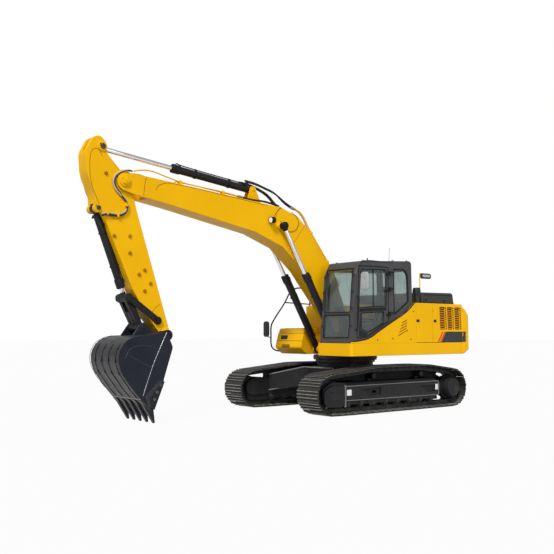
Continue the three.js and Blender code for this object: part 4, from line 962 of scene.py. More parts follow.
wiper_parts = [
    drum(spot(front_x(2.78) - 0.006, 0.56, 2.78), spot(front_x(2.78) + 0.034, 0.56, 2.78), 0.02, 16, 0.003),
    pipe([spot(front_x(2.78) + 0.026, 0.56, 2.78), spot(front_x(2.55) + 0.03, 0.58, 2.55),
          spot(front_x(2.3) + 0.02, 0.6, 2.3)], 0.006, 2, 3),
    block(spot(front_x(2.35) - 0.003, 0.596, 2.02), spot(front_x(2.35) + 0.012, 0.608, 2.56), 0.002)]
alone(wiper_parts[2])
bpy.ops.object.mode_set(mode="EDIT")
bpy.ops.mesh.select_all(action="SELECT")
bpy.ops.transform.rotate(value=math.radians(5.2), orient_axis="Y",
                         center_override=spot(front_x(2.35), 0.6, 2.35))
bpy.ops.object.mode_set(mode="OBJECT")
placed(joined(wiper_parts), "windscreen_wiper", "upper", seal_rubber)
screen_hinges = [block(spot(front_x(z) - 0.004, y - 0.014, z - 0.022),
                       spot(front_x(z) + 0.016, y + 0.014, z + 0.022), 0.005)
                 for z in (1.7, 2.05, 2.38, 2.7) for y in (0.448, 1.292)]
placed(joined(screen_hinges), "windscreen_latches", "upper", seal_rubber)


def roof_z(x):
    """The roof falls gently towards the front."""
    return 2.998 + (0.835 - x) * 0.0482


roof_parts = [drum(spot(x, y, roof_z(x) - 0.01), spot(x, y, roof_z(x) + 0.018), 0.022, 16, 0.005)
              for x, y in ((0.7, 1.25), (-0.15, 1.27), (0.7, 0.5), (-0.6, 0.5), (-0.6, 1.25))]
roof_parts.append(drum(spot(0.56, 1.24, roof_z(0.56) - 0.01), spot(0.56, 1.24, roof_z(0.56) + 0.062),
                       0.012, 12, 0.003))
placed(joined(roof_parts), "roof_lifting_plugs", "upper", seal_rubber)
aerial = [drum(spot(-0.44, 0.9, 3.062), spot(-0.44, 0.9, 3.096), 0.02, 16, 0.004),
          pipe([spot(-0.44, 0.9, 3.09), spot(-0.448, 0.9, 3.23), spot(-0.46, 0.9, 3.38)], 0.0035, 1, 2)]
placed(joined(aerial), "roof_aerial", "upper", seal_rubber)
gutter = pipe([spot(x, CAB_LEFT + 0.004, z) for x, z in ((0.905, 2.9), (0.835, 2.975),
                                                         (0.74, 3.0), (0.3, 3.012), (-0.1, 3.016))], 0.011, 2,
              3)
placed(gutter, "roof_gutter", "upper", charcoal_enamel)

# ---- Operator's station: a sprung seat with sewn cloth cushions on a steel base, side consoles with two
# joysticks, travel levers with pedals, and a monitor on the right pillar.
SEAT_MIDDLE = (CAB_RIGHT + CAB_LEFT) / 2
CAB_FLOOR = 1.4296
cloth, cloth_nodes, cloth_links, cloth_shader = material_named("seat_cloth")
thread = mottled(cloth_nodes, cloth_links, 900, 2, 0.35, 0.65, (1, 1, 0.3))
cloth_links.new(blended(cloth_nodes, cloth_links, thread, (0.016, 0.017, 0.019), (0.034, 0.035, 0.038)),
                cloth_shader.inputs["Base Color"])
rough_between(cloth_nodes, cloth_links, cloth_shader, thread, 0.82, 0.95)
cloth_shader.inputs["Sheen Weight"].default_value = 0.25
bumped(cloth_nodes, cloth_links, cloth_shader, thread, 0.5, 0.0008)
console_plastic = moulded("console_plastic", (0.02, 0.021, 0.023), (0.028, 0.029, 0.031))


def cushion(low, high, tilt, name):
    """A foam cushion in sewn cloth: crowned faces, pulled-in sides and a welt between the panels."""
    low, high = spot(*low), spot(*high)
    middle = (low + high) / 2
    bpy.ops.object.select_all(action="DESELECT")
    bpy.ops.mesh.primitive_cube_add(size=1, location=middle, scale=high - low)
    made = bpy.context.object
    bpy.ops.object.transform_apply(location=True, rotation=False, scale=True)
    bpy.ops.object.mode_set(mode="EDIT")
    bpy.ops.mesh.select_all(action="SELECT")
    bpy.ops.mesh.subdivide(number_cuts=5)
    bpy.ops.object.mode_set(mode="OBJECT")
    size = high - low
    thin = min(range(3), key=lambda axis: size[axis])
    wide = [axis for axis in range(3) if axis != thin]
    crown = 0.16 * size[thin]
    for vertex in made.data.vertices:
        across = [(vertex.co[axis] - middle[axis]) / (size[axis] / 2) for axis in wide]
        rise = (1 - across[0] ** 2) * (1 - across[1] ** 2)
        side = 1 if vertex.co[thin] > middle[thin] else -1
        level = abs(vertex.co[thin] - middle[thin]) / (size[thin] / 2)
        channel = 0.35 if abs(abs(across[0]) - 1 / 3) < 0.02 else 1.0
        vertex.co[thin] += side * crown * rise * level * channel
        for axis, share in zip(wide, across):
            pulled = abs(share) > 0.999
            other = across[1 - wide.index(axis)]
            vertex.co[axis] -= pulled * math.copysign(0.05 * size[thin] * (1 - other ** 2), share)
    use(made, "BEVEL", width=0.1 * size[thin], segments=2, limit_method="ANGLE", angle_limit=math.radians(60))
    use(made, "SUBSURF", levels=1, render_levels=1)
    alone(made)
    bpy.ops.object.shade_smooth()
    bpy.ops.object.mode_set(mode="EDIT")
    bpy.ops.mesh.select_all(action="SELECT")
    bpy.ops.transform.rotate(value=math.radians(tilt), orient_axis="Y", center_override=middle)
    bpy.ops.object.mode_set(mode="OBJECT")
    placed(made, name, "upper", cloth)
    return made


def about(half):
    return SEAT_MIDDLE - half, SEAT_MIDDLE + half


right, left = about(0.235)
seat_parts = [block(spot(-0.27, SEAT_MIDDLE - 0.19, CAB_FLOOR + 0.002),
                    spot(0.17, SEAT_MIDDLE + 0.19, CAB_FLOOR + 0.06), 0.01),
              block(spot(-0.23, SEAT_MIDDLE - 0.15, CAB_FLOOR + 0.055),
                    spot(0.13, SEAT_MIDDLE + 0.15, CAB_FLOOR + 0.205), 0.03, 3),
              block(spot(-0.29, SEAT_MIDDLE - 0.215, CAB_FLOOR + 0.2),
                    spot(0.23, SEAT_MIDDLE + 0.215, CAB_FLOOR + 0.245), 0.018, 3)]
for y in about(0.3):
    seat_parts.append(block(spot(-0.32, y - 0.058, CAB_FLOOR + 0.19),
                            spot(0.32, y + 0.058, CAB_FLOOR + 0.4), 0.026, 3))
    seat_parts.append(block(spot(-0.3, y - 0.042, CAB_FLOOR + 0.402),
                            spot(0.12, y + 0.042, CAB_FLOOR + 0.452), 0.02, 3))
    seat_parts.append(drum(spot(0.265, y, CAB_FLOOR + 0.39), spot(0.27, y, CAB_FLOOR + 0.45),
                           0.034, 20, 0.008))
    seat_parts.append(drum(spot(0.27, y, CAB_FLOOR + 0.44), spot(0.29, y, CAB_FLOOR + 0.56), 0.012, 14))
    seat_parts.append(drum(spot(0.286, y, CAB_FLOOR + 0.54), spot(0.302, y, CAB_FLOOR + 0.645),
                           0.024, 18, 0.01))
belong(joined(seat_parts), "seat_base_and_consoles", "upper", console_plastic,
       ["operator_seat"])
cushion((-0.26, right, CAB_FLOOR + 0.245), (0.25, left, CAB_FLOOR + 0.345), -3, "seat_cushion")
cushion((-0.345, right, CAB_FLOOR + 0.33), (-0.245, left, CAB_FLOOR + 0.93), -11, "seat_back_cushion")
cushion((-0.43, SEAT_MIDDLE - 0.125, CAB_FLOOR + 0.95), (-0.35, SEAT_MIDDLE + 0.125, CAB_FLOOR + 1.12), -9,
        "seat_head_cushion")

dressed("travel_levers", "travel_controls", console_plastic, 0.004)
knobs = [drum(spot(0.765, y, 1.96), spot(0.758, y, 2.03), 0.022, 18, 0.009) for y in about(0.11)]
pedals = [block(spot(0.8, y - 0.055, 1.472), spot(0.93, y + 0.055, 1.492), 0.006) for y in about(0.12)]
monitor = [block(spot(0.7, 0.5, 1.96), spot(0.735, 0.69, 2.11), 0.012, 3),
           pipe([spot(0.725, 0.56, 1.985), spot(0.79, 0.52, 1.9), spot(0.86, 0.494, 1.8)], 0.013, 2, 4)]
side_console = block(spot(0.3, 0.492, CAB_FLOOR + 0.002), spot(0.64, 0.56, 1.9), 0.02, 3)
placed(joined(knobs + pedals + monitor + [side_console]), "levers_pedals_monitor", "upper",
       console_plastic)

# ---- Boom: two bent side plates and two cover plates welded into a box, with a cast foot, a cast nose and
# pin bosses. The long welds are left as laid and painted over; their darker amber brown is painted shade.
dressed("boom", "boom_weldment", amber_enamel, 0.006, has_openings=True)
BOOM_SIDE = 0.215
PIPE_RADIUS = 0.013
# A darker amber brown for the welds and hose rests: painted shade, the shadow along a bead too small to cast
# one.
weld_line = enamel("weld_line", (0.42, 0.175, 0.002), (0.3, 0.115, 0.002), rough=(0.4, 0.6), dust_share=0.1,
                   scuff_share=0.1, coat=0.0, shine=0.2, peel=0.5)


def boom_top(x):
    """The height of the boom's top plate between its bend and its nose."""
    return 4.049 + (x - 1.491) * 0.0799


def boom_foot_point(x, off):
    """A place behind the boom's rear plate below its bend, at a distance off it."""
    z = 2.816 + (x - 0.52) * 1.27
    return x - off * 0.785, z + off * 0.618


beads = []
for side in (BOOM_SIDE, -BOOM_SIDE):
    beads.append(pipe([spot(5.036, side, 4.322), spot(5.06, side, 4.21), spot(5.086, side, 3.985)], 0.005, 2,
                      3))
    beads.append(pipe([spot(4.837, side, 4.104), spot(4.8, side, 4.18), spot(4.731, side, 4.225),
                       spot(4.608, side, 4.262), spot(4.42, side, 4.262), spot(3.005, side, 4.15),
                       spot(2.306, side, 4.09)], 0.005, 2, 4))
    beads.append(pipe([spot(1.33, side, 3.78), spot(1.56, side, 3.48), spot(1.7, side, 3.3)], 0.004, 2, 2))
    beads.append(pipe([spot(0.33, side, 2.26), spot(0.48, side, 2.13), spot(0.56, side, 2.06)], 0.004, 2, 2))
placed(joined(beads), "boom_welds", "boom", weld_line)

# Boom pins: hardened steel with a flag plate welded on one end, held by one bolt and a grease nipple.
pin_steel = enamel("pin_steel", (0.1, 0.098, 0.094), (0.055, 0.052, 0.048),
                   rough=(0.35, 0.55), dust_share=0.2, scuff=(0.3, 0.29, 0.28), scuff_share=0.4,
                   coat=0.0, shine=0.5)
pin_steel.node_tree.nodes["Principled BSDF"].inputs["Metallic"].default_value = 0.5


def pin_end(x, y, z, radius, way, turn=0.6):
    """A pin's end at y, facing way (1 left, -1 right), with its flag plate, bolt and nipple."""
    cap = drum(spot(x, y - 0.004 * way, z), spot(x, y + 0.012 * way, z), radius, 28, 0.003)
    reach = Vector((math.cos(turn), 0, math.sin(turn))) * (radius + 0.03)
    bolt = drum(spot(x, y - 0.002 * way, z) + reach * 0.8,
                spot(x, y + 0.016 * way, z) + reach * 0.8, 0.011, 6)
    nipple = drum(spot(x, y + 0.01 * way, z), spot(x, y + 0.024 * way, z), 0.006, 8, 0.001)
    return [cap, bolt, nipple]


placed(joined(pin_end(0.235, 0.279, 1.8, 0.046, 1) + pin_end(0.235, -0.279, 1.8, 0.046, -1)),
       "boom_foot_pin_ends", "upper", pin_steel)
nose_ends = pin_end(5.45, 0.25, 4.2, 0.066, 1) + pin_end(5.45, -0.25, 4.2, 0.066, -1)
placed(joined(nose_ends), "nose_pin_ends", "boom", amber_enamel)
EYE_X, EYE_Z = 1.985, 3.7
caps = []
for way in (1, -1):
    caps.append(drum(spot(EYE_X, way * 0.377, EYE_Z), spot(EYE_X, way * 0.402, EYE_Z), 0.074, 32, 0.01, 3))
    caps.append(drum(spot(EYE_X, way * 0.398, EYE_Z), spot(EYE_X, way * 0.41, EYE_Z), 0.03, 6, 0.002))
placed(joined(caps), "boom_cylinder_pin_caps", "boom", black_enamel)

# Boom piping: cold drawn steel tube in saddle clamps along the top plate, and rubber hoses with crimped
# ends where it must flex, from the bend forward to the arm cylinder.
hose_rubber = moulded("hose_rubber", (0.007, 0.007, 0.0075), (0.012, 0.012, 0.0125),
                      rough=(0.4, 0.6), grain=600)
plated = enamel("zinc_plated", (0.42, 0.41, 0.38), (0.34, 0.33, 0.31), rough=(0.28, 0.42), dust_share=0.1,
                scuff=(0.6, 0.6, 0.58), scuff_share=0.2, coat=0.0, shine=0.5, peel=0.1)
plated.node_tree.nodes["Principled BSDF"].inputs["Metallic"].default_value = 0.8
top_pipes = []
for side in (1, -1):
    y, clear = side * 0.185, side * 0.216
    route = [spot(3.0, y, boom_top(3.0) + 0.034), spot(3.36, y, boom_top(3.36) + 0.044),
             spot(4.31, y, boom_top(4.31) + 0.046), spot(4.62, clear, boom_top(4.62) + 0.07),
             spot(4.947, clear, boom_top(4.95) + 0.11), spot(5.16, clear, boom_top(5.16) + 0.08),
             spot(5.29, clear, 4.39)]
    top_pipes.append(pipe(route, PIPE_RADIUS, 2, 5))
    y = side * 0.145
    route = [spot(2.88, y, boom_top(2.88) + 0.034), spot(3.36, y, boom_top(3.36) + 0.044),
             spot(4.31, y, boom_top(4.31) + 0.046), spot(4.4, y, boom_top(4.4) + 0.036),
             spot(4.44, y, boom_top(4.44) - 0.004)]
    top_pipes.append(pipe(route, PIPE_RADIUS, 2, 5))
for y in (0.175, 0.13, -0.13, -0.175):
    route = [spot(0.33, y, 2.56)]
    for x in (0.6, 0.9, 1.2):
        px, pz = boom_foot_point(x, 0.04)
        route.append(spot(px, y, pz))
    top_pipes.append(pipe(route + [spot(1.41, y, 4.03), spot(1.64, y, 4.115)], PIPE_RADIUS, 2, 5))
placed(joined(top_pipes), "boom_pipes", "boom", amber_enamel)
clamps = []
for x in (3.36, 4.31):
    for y in (0.165, -0.165):
        clamps.append(block(spot(x - 0.03, y - 0.042, boom_top(x) - 0.004),
                            spot(x + 0.03, y + 0.042, boom_top(x) + 0.066), 0.006))
        clamps.append(drum(spot(x, y, boom_top(x) + 0.06), spot(x, y, boom_top(x) + 0.08), 0.011, 6))
for x in (0.7, 1.15):
    for y in (0.152, -0.152):
        px, pz = boom_foot_point(x, 0.03)
        clamps.append(drum(spot(px - 0.028, y, pz + 0.022), spot(px + 0.03, y, pz - 0.024), 0.044, 8, 0.004))
placed(joined(clamps), "boom_pipe_clamps", "boom", amber_enamel)
hoses = []
for y, lift in ((0.175, 0.0), (0.13, 0.03), (-0.13, 0.015), (-0.175, 0.0)):
    hoses.append(pipe([spot(1.62, y, 4.11), spot(1.8, y, 4.19), spot(2.06, y * 0.8, 4.355 + lift),
                       spot(2.3, y * 0.6, 4.44 + lift), spot(2.56, y * 0.55, 4.505 + lift),
                       spot(2.76, y * 0.5, 4.525 + lift)], 0.017, 2, 5))
for y in (0.185, 0.145, -0.145, -0.185):
    hoses.append(pipe([spot(2.0, y, boom_top(2.0) + 0.03), spot(2.35, y, boom_top(2.35) + 0.05),
                       spot(2.7, y, boom_top(2.7) + 0.028), spot(2.96, y, boom_top(2.96) + 0.036)], 0.015, 2,
                      4))
placed(joined(hoses), "boom_hoses", "boom", hose_rubber)
ferrules = []
for y in (0.175, 0.13, -0.13, -0.175):
    ferrules.append(drum(spot(1.56, y, 4.09), spot(1.68, y, 4.135), 0.022, 12, 0.003))
for y in (0.185, 0.145, -0.145, -0.185):
    ferrules.append(drum(spot(2.9, y, boom_top(2.9) + 0.032), spot(3.01, y, boom_top(3.01) + 0.038),
                         0.02, 12, 0.003))
placed(joined(ferrules), "boom_hose_ferrules", "boom", plated)
bridge = block(spot(2.7, -0.08, 4.47), spot(2.8, 0.08, 4.5), 0.006)
placed(bridge, "hose_bridge", "boom", black_enamel)

# Work light: a round lamp in a black rim with a clear ribbed lens, on a bracket welded to the boom.
LAMP = (2.2425, 0.3, 3.795)
dressed("work_light", "work_light_body", black_enamel, 0.004)
lens, lens_nodes, lens_links, lens_shader = material_named("lamp_lens")
ribs = mottled(lens_nodes, lens_links, 60, 1, 0.3, 0.7, (1, 4, 1))
lens_links.new(blended(lens_nodes, lens_links, ribs, (0.86, 0.87, 0.88), (0.95, 0.95, 0.95)),
               lens_shader.inputs["Base Color"])
rough_between(lens_nodes, lens_links, lens_shader, ribs, 0.08, 0.2)
bumped(lens_nodes, lens_links, lens_shader, ribs, 0.4, 0.001)
way = Vector((0.085, 0, -0.01)).normalized()
glass_face = spot(*LAMP) + way * 0.043
rim = drum(glass_face - way * 0.004, glass_face + way * 0.01, 0.0665, 36, 0.004)
placed(rim, "work_light_rim", "boom", black_enamel)
placed(drum(glass_face - way * 0.002, glass_face + way * 0.0125, 0.054, 36, 0.004),
       "work_light_lens", "boom", lens)
cable = pipe([spot(2.2, 0.29, 3.83), spot(2.14, 0.245, 3.9), spot(2.09, 0.2215, 3.96),
              spot(2.004, 0.2215, 4.06), spot(1.96, 0.2215, 4.083)], 0.005, 1, 4)
placed(cable, "work_light_cable", "boom", hose_rubber)
grease_line = pipe([spot(1.985, 0.221, 3.805), spot(1.82, 0.221, 3.64), spot(1.68, 0.221, 3.615),
                    spot(1.53, 0.221, 3.72), spot(1.52, 0.221, 3.88), spot(1.7, 0.221, 4.02)], 0.0045, 1, 5)
placed(grease_line, "boom_grease_line", "boom", hose_rubber)

# ---- Arm: a tapered welded box with a cast head for its cylinder, a doubler plate round the pivot, small
# weld-on hose rests along its sides, and the bucket circuit's pipes down its left side.
dressed("arm", "arm_weldment", amber_enamel, 0.006, has_openings=True)
ARM_SIDE = 0.15
arm_welds = []
for side in (ARM_SIDE, -ARM_SIDE):
    arm_welds.append(pipe([spot(5.905, side, 3.76), spot(6.05, side, 4.1), spot(6.085, side, 4.4),
                           spot(6.078, side, 4.56), spot(6.06, side, 4.64), spot(6.01, side, 4.695),
                           spot(5.945, side, 4.7), spot(5.86, side, 4.6)],
                          0.005, 2, 4))
    arm_welds.append(pipe([spot(5.395, side, 3.64), spot(5.47, side, 3.56), spot(5.6, side, 3.53),
                           spot(5.72, side, 3.575)],
                          0.004, 2, 4))
    arm_welds.append(pipe([spot(4.7, side, 2.08), spot(4.8, side, 2.0), spot(4.88, side, 1.87)], 0.004, 2, 4))
placed(joined(arm_welds), "arm_welds", "arm", weld_line)
# The hose rests are in the same darker amber brown, as painted shade.
HOSE_RESTS = ((5.785, 4.3), (5.615, 3.233), (5.311, 3.251), (5.307, 2.956), (5.123, 2.589), (5.014, 2.672),
              (4.894, 2.441), (5.009, 2.303))
rests = []
for x, z in HOSE_RESTS:
    for side in (1, -1):
        rests.append(drum(spot(x, side * (ARM_SIDE - 0.002), z), spot(x, side * (ARM_SIDE + 0.022), z),
                          0.034, 6, 0.005))
placed(joined(rests), "arm_hose_rests", "arm", weld_line)
hub_rings = [drum(spot(5.45, side * 0.149, 4.2), spot(5.45, side * 0.1555, 4.2), 0.205, 56,
                  0.003) for side in (1, -1)]
placed(joined(hub_rings), "arm_pivot_doublers", "arm", amber_enamel)
placed(joined(pin_end(5.858, 0.173, 4.758, 0.05, 1) + pin_end(5.858, -0.173, 4.758, 0.05, -1)
              + pin_end(5.915, 0.165, 3.69, 0.04, 1) + pin_end(5.915, -0.165, 3.69, 0.04, -1)),
       "arm_pin_ends", "arm", pin_steel)

# Bucket hoses: a pair of rubber hoses in a woven grey sleeve. They leave the boom's pipes at its nose, bend
# round the arm's pivot and lie in clips along the arm to the bucket cylinder's ports.
woven, woven_nodes, woven_links, woven_shader = material_named("woven_sleeve")
weave = mottled(woven_nodes, woven_links, 240, 2, 0.35, 0.65)
woven_links.new(blended(woven_nodes, woven_links, weave, (0.3, 0.27, 0.22), (0.52, 0.48, 0.4)),
                woven_shader.inputs["Base Color"])
rough_between(woven_nodes, woven_links, woven_shader, weave, 0.65, 0.85)
bumped(woven_nodes, woven_links, woven_shader, weave, 0.7, 0.001)
LOOP = ((5.3, 4.39), (5.4, 4.392), (5.5, 4.362), (5.6, 4.3), (5.655, 4.2), (5.63, 4.08), (5.56, 3.99),
        (5.47, 3.92), (5.395, 3.83), (5.385, 3.73), (5.44, 3.655), (5.545, 3.612),
        (5.67, 3.612), (5.78, 3.612), (5.86, 3.585))
LOOP_TURNS_BACK, LOOP_RUNS_LEVEL = 7, 9
for side, tag, material in ((1, "left", woven), (-1, "right", hose_rubber)):
    for k, (y, shrink) in enumerate(((0.182, 0.0), (0.182, 0.036))):
        route = []
        for i, (x, z) in enumerate(LOOP):
            inward = shrink * min(1, i / 3)
            x += -0.7 * inward if i < LOOP_TURNS_BACK else 0.2 * inward
            z -= 0.8 * inward if i >= LOOP_RUNS_LEVEL else 0
            route.append(spot(x, side * (y + 0.008 * math.sin(i)), z))
        hose = placed(pipe(route, 0.0165, 3, 5), f"bucket_hose_{tag}_{k + 1}", None,
                      material if k == 0 else hose_rubber)
        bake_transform(hose)
clips = []
for x, z in ((5.395, 3.8), (5.56, 3.6), (5.76, 3.62)):
    for side in (1, -1):
        low, high = sorted((side * 0.149, side * 0.205))
        clips.append(block(spot(x - 0.018, low, z - 0.04), spot(x + 0.018, high, z + 0.04), 0.005))
placed(joined(clips), "bucket_hose_clips", "arm", amber_enamel)

# ---- Cylinders: honed steel barrels in black enamel with a bolted gland at the mouth and a cast eye at the
# foot, hard chromed rods, and ports fed by steel pipe held to the barrel with bands.
chrome, chrome_nodes, chrome_links, chrome_shader = material_named("hard_chrome")
oil_film = mottled(chrome_nodes, chrome_links, 30, 4, 0.35, 0.7)
chrome_links.new(blended(chrome_nodes, chrome_links, oil_film, (0.8, 0.8, 0.81), (0.68, 0.67, 0.66)),
                 chrome_shader.inputs["Base Color"])
chrome_shader.inputs["Metallic"].default_value = 1.0
rough_between(chrome_nodes, chrome_links, chrome_shader, oil_film, 0.1, 0.22)
CYLINDER_EYE_RADIUS = 0.076
EYE_HALF = 0.045
BARREL_START = 0.106
COLLAR_LENGTH = 0.165
BAND_SHARES = (0.3, 0.72)
PORT_ALONG = 0.3


class Cylinder:
    """The line of one cylinder from its foot pin to its rod eye, and where its parts lie along it."""

    def __init__(self, foot, eye, bore, rod, body, rod_end):
        self.foot, self.eye = Vector((foot[0], 0, foot[1])), Vector((eye[0], 0, eye[1]))
        self.way = (self.eye - self.foot).normalized()
        self.out = Vector((-self.way.z, 0, self.way.x))
        self.length = (self.eye - self.foot).length
        self.bore, self.rod, self.body, self.rod_end = bore, rod, body, rod_end

    def at(self, along, y, off=0.0):
        p = self.foot + self.way * along + self.out * off
        return spot(p.x, y, p.z)


BOOM_CYLINDER = Cylinder((0.5, 1.222), (1.985, 3.7), 0.07, 0.042, 1.8, 0.9)
ARM_CYLINDER = Cylinder((2.56, 4.395), (5.858, 4.758), 0.072, 0.045, 1.84, 1.28)
BUCKET_CYLINDER = Cylinder((5.915, 3.69), (5.322, 2.178), 0.062, 0.04, 1.44, 0.15)


def cut_through(thing, cutter):
    """Takes the cutter's shape out of a piece."""
    use(thing, "BOOLEAN", operation="DIFFERENCE", solver="EXACT", object=cutter)
    bpy.data.objects.remove(cutter)
    return thing


def make_barrel(cylinder, y, side, pin):
    """Barrel, foot eye, gland with its ring of bolts, and the rod side pipe with its bands and ports."""
    tube_wall = drum(cylinder.at(BARREL_START, y), cylinder.at(cylinder.body - 0.01, y),
                     cylinder.bore, 48, 0.004)
    gland = drum(cylinder.at(cylinder.body - COLLAR_LENGTH, y), cylinder.at(cylinder.body - 0.002, y),
                 cylinder.bore + 0.014, 48, 0.008, 3)
    lip = drum(cylinder.at(cylinder.body - 0.055, y), cylinder.at(cylinder.body + 0.001, y),
               cylinder.bore - 0.006, 40, 0.004)
    foot_eye = drum(cylinder.at(0, y - EYE_HALF), cylinder.at(0, y + EYE_HALF),
                    CYLINDER_EYE_RADIUS, 40, 0.006)
    bore = drum(cylinder.at(0, y - 0.1), cylinder.at(0, y + 0.1), pin + 0.002, 28)
    cut_through(foot_eye, bore)
    neck = drum(cylinder.at(0.06, y), cylinder.at(BARREL_START + 0.01, y), EYE_HALF - 0.002, 24, 0.002)
    bands = [drum(cylinder.at(share * cylinder.body - 0.016, y),
                  cylinder.at(share * cylinder.body + 0.016, y), cylinder.bore + 0.011, 40,
                  0.003) for share in BAND_SHARES]
    parts = [foot_eye, neck]
    for ring in [tube_wall, gland, lip] + bands:
        parts.append(cut_through(ring, drum(cylinder.at(BARREL_START + 0.014, y),
                                            cylinder.at(cylinder.body + 0.03, y), cylinder.rod + 0.003, 36)))
    bolt = drum(cylinder.at(cylinder.body - 0.02, y, cylinder.bore - 0.016),
                cylinder.at(cylinder.body + 0.01, y, cylinder.bore - 0.014), 0.008, 6)
    centre = cylinder.at(0, y)
    spins = [Matrix.Translation(centre) @ Matrix.Rotation(k * math.pi / 4, 4,
                                                          cylinder.way) @ Matrix.Translation(-centre)
             for k in range(8)]
    parts.append(repeated(bolt, spins))
    off = side * (cylinder.bore + 0.02)
    parts.append(pipe([cylinder.at(cylinder.body - 0.07, y, side * cylinder.bore * 0.9),
                       cylinder.at(cylinder.body - 0.085, y, off + side * 0.012),
                       cylinder.at(cylinder.body - 0.17, y, off + side * 0.006),
                       cylinder.at(0.75 * cylinder.body, y, off), cylinder.at(0.3 * cylinder.body, y, off),
                       cylinder.at(PORT_ALONG + 0.02, y, off)],
                      0.011, 2, 4))
    for share in BAND_SHARES:
        along = share * cylinder.body
        parts.append(drum(cylinder.at(along, y, side * (cylinder.bore - 0.004)),
                          cylinder.at(along, y, off + side * 0.014), 0.017, 6, 0.002))
    parts.append(drum(cylinder.at(PORT_ALONG, y, side * 0.055),
                      cylinder.at(PORT_ALONG, y, off + side * 0.014), 0.024, 20, 0.003))
    return joined(parts)


def make_rod(cylinder, y, eye_finish):
    """The chromed rod with its eye, which is welded on, in the finish it is given."""
    rod = drum(cylinder.at(cylinder.rod_end, y), cylinder.at(cylinder.length - 0.07, y),
               cylinder.rod, 44, 0.003)
    rod.data.materials.append(chrome)
    eye = drum(cylinder.at(cylinder.length, y - EYE_HALF), cylinder.at(cylinder.length, y + EYE_HALF),
               CYLINDER_EYE_RADIUS, 40, 0.006)
    neck = drum(cylinder.at(cylinder.length - 0.105, y), cylinder.at(cylinder.length - 0.04, y),
                cylinder.rod + 0.01, 32, 0.008)
    for part in (eye, neck):
        part.data.materials.append(eye_finish)
    return joined([rod, eye, neck])


for hand, y in (("left", 0.33), ("right", -0.33)):
    belong(make_barrel(BOOM_CYLINDER, y, 1, 0.038), f"boom_cylinder_body_{hand}", "boom_barrels",
           black_enamel, [f"boom_cylinder_barrel_{hand}"])
    belong(make_rod(BOOM_CYLINDER, y, black_enamel), f"boom_cylinder_chrome_{hand}", "boom_rods",
           None, [f"boom_cylinder_rod_{hand}"])
belong(make_barrel(ARM_CYLINDER, 0, 1, 0.038), "arm_cylinder_body", "arm_barrel", black_enamel,
       ["arm_cylinder_barrel"])
belong(make_rod(ARM_CYLINDER, 0, amber_enamel), "arm_cylinder_chrome", "arm_rod", None,
       ["arm_cylinder_rod"])
belong(make_barrel(BUCKET_CYLINDER, 0, -1, 0.038), "bucket_cylinder_body", "bucket_barrel",
       black_enamel, ["bucket_cylinder_barrel"])
belong(make_rod(BUCKET_CYLINDER, 0, black_enamel), "bucket_cylinder_chrome", "bucket_rod", None,
       ["bucket_cylinder_rod"])

# ---- Bucket linkage: two flat forged idler links outside the arm and one cast link to the bucket's ears,
# on greased pins with flag plates.
for hand in ("left", "right"):
    dressed(f"idler_link_{hand}", f"idler_link_forging_{hand}", black_enamel, 0.008,
            has_openings=True)
dressed("bucket_link", "bucket_link_casting", black_enamel, 0.008, has_openings=True)
placed(joined(pin_end(4.745, 0.2, 1.785, 0.044, 1) + pin_end(4.745, -0.2, 1.785, 0.044, -1)),
       "idler_pin_ends", "arm", black_enamel)
placed(joined(pin_end(5.322, 0.192, 2.178, 0.052, 1) + pin_end(5.322, -0.192, 2.178, 0.052, -1)),
       "link_pin_ends", "idler_links", black_enamel)

# ---- Bucket: a curved shell between two side plates, with wear straps along its back, a thick lip with five
# cast teeth on adapters, and bolted side cutters. Blue black paint, rubbed to bare steel on the back.
SIDE_PLATE = 0.52
BACK_LINE = ((5.01, 0.285), (5.265, 0.45), (5.41, 0.612), (5.63, 0.9), (5.705, 1.12),
             (5.65, 1.335), (5.5, 1.465), (5.28, 1.522))
bucket_paint, nodes, links, shader = material_named("bucket_paint")
tone = blended(nodes, links, mottled(nodes, links, 2, 3, 0.35, 0.65), (0.008, 0.0098, 0.0165),
               (0.0125, 0.015, 0.0235))
facing = nodes.new("ShaderNodeTexCoord")
turn = nodes.new("ShaderNodeSeparateXYZ")
links.new(facing.outputs["Normal"], turn.inputs["Vector"])
flank = nodes.new("ShaderNodeMath")
flank.operation = "ABSOLUTE"
links.new(turn.outputs["Y"], flank.inputs[0])
back = nodes.new("ShaderNodeMapRange")
back.inputs["From Min"].default_value = 0.35
back.inputs["From Max"].default_value = 0.75
back.inputs["To Min"].default_value = 1
back.inputs["To Max"].default_value = 0
links.new(flank.outputs[0], back.inputs["Value"])
streak = mottled(nodes, links, 9, 5, 0.3, 0.72, (0.25, 6, 0.25))
rubbed = multiplied(nodes, links, back.outputs["Result"], streak)
steel_tone = blended(nodes, links, mottled(nodes, links, 3.5, 3, 0.35, 0.65), (0.075, 0.062, 0.048),
                     (0.11, 0.112, 0.112))
soiled = blended(nodes, links, multiplied(nodes, links, rubbed, 0.85), tone, steel_tone)
links.new(soiled, shader.inputs["Base Color"])
links.new(multiplied(nodes, links, rubbed, 0.5), shader.inputs["Metallic"])
rough_between(nodes, links, shader, mottled(nodes, links, 12, 4, 0.3, 0.7), 0.3, 0.48)
shader.inputs["Specular IOR Level"].default_value = 0.22
bumped(nodes, links, shader, mottled(nodes, links, 120, 3, 0.3, 0.7), 0.2, 0.001)
cutting_steel = enamel("cutting_steel", (0.014, 0.0145, 0.017), (0.03, 0.029, 0.028), rough=(0.34, 0.55),
                       dust=(0.1, 0.09, 0.075), dust_top=0.5, dust_share=0.3, scuff=(0.3, 0.29, 0.28),
                       scuff_share=0.5, coat=0.0, shine=0.5, peel=0.3)
worn_edge = enamel("worn_edge", (0.4, 0.41, 0.43), (0.28, 0.28, 0.29), rough=(0.25, 0.45), dust_share=0.1,
                   scuff=(0.7, 0.7, 0.7), scuff_share=0.4, coat=0.0, shine=0.5, peel=0.2)
worn_edge.node_tree.nodes["Principled BSDF"].inputs["Metallic"].default_value = 0.85

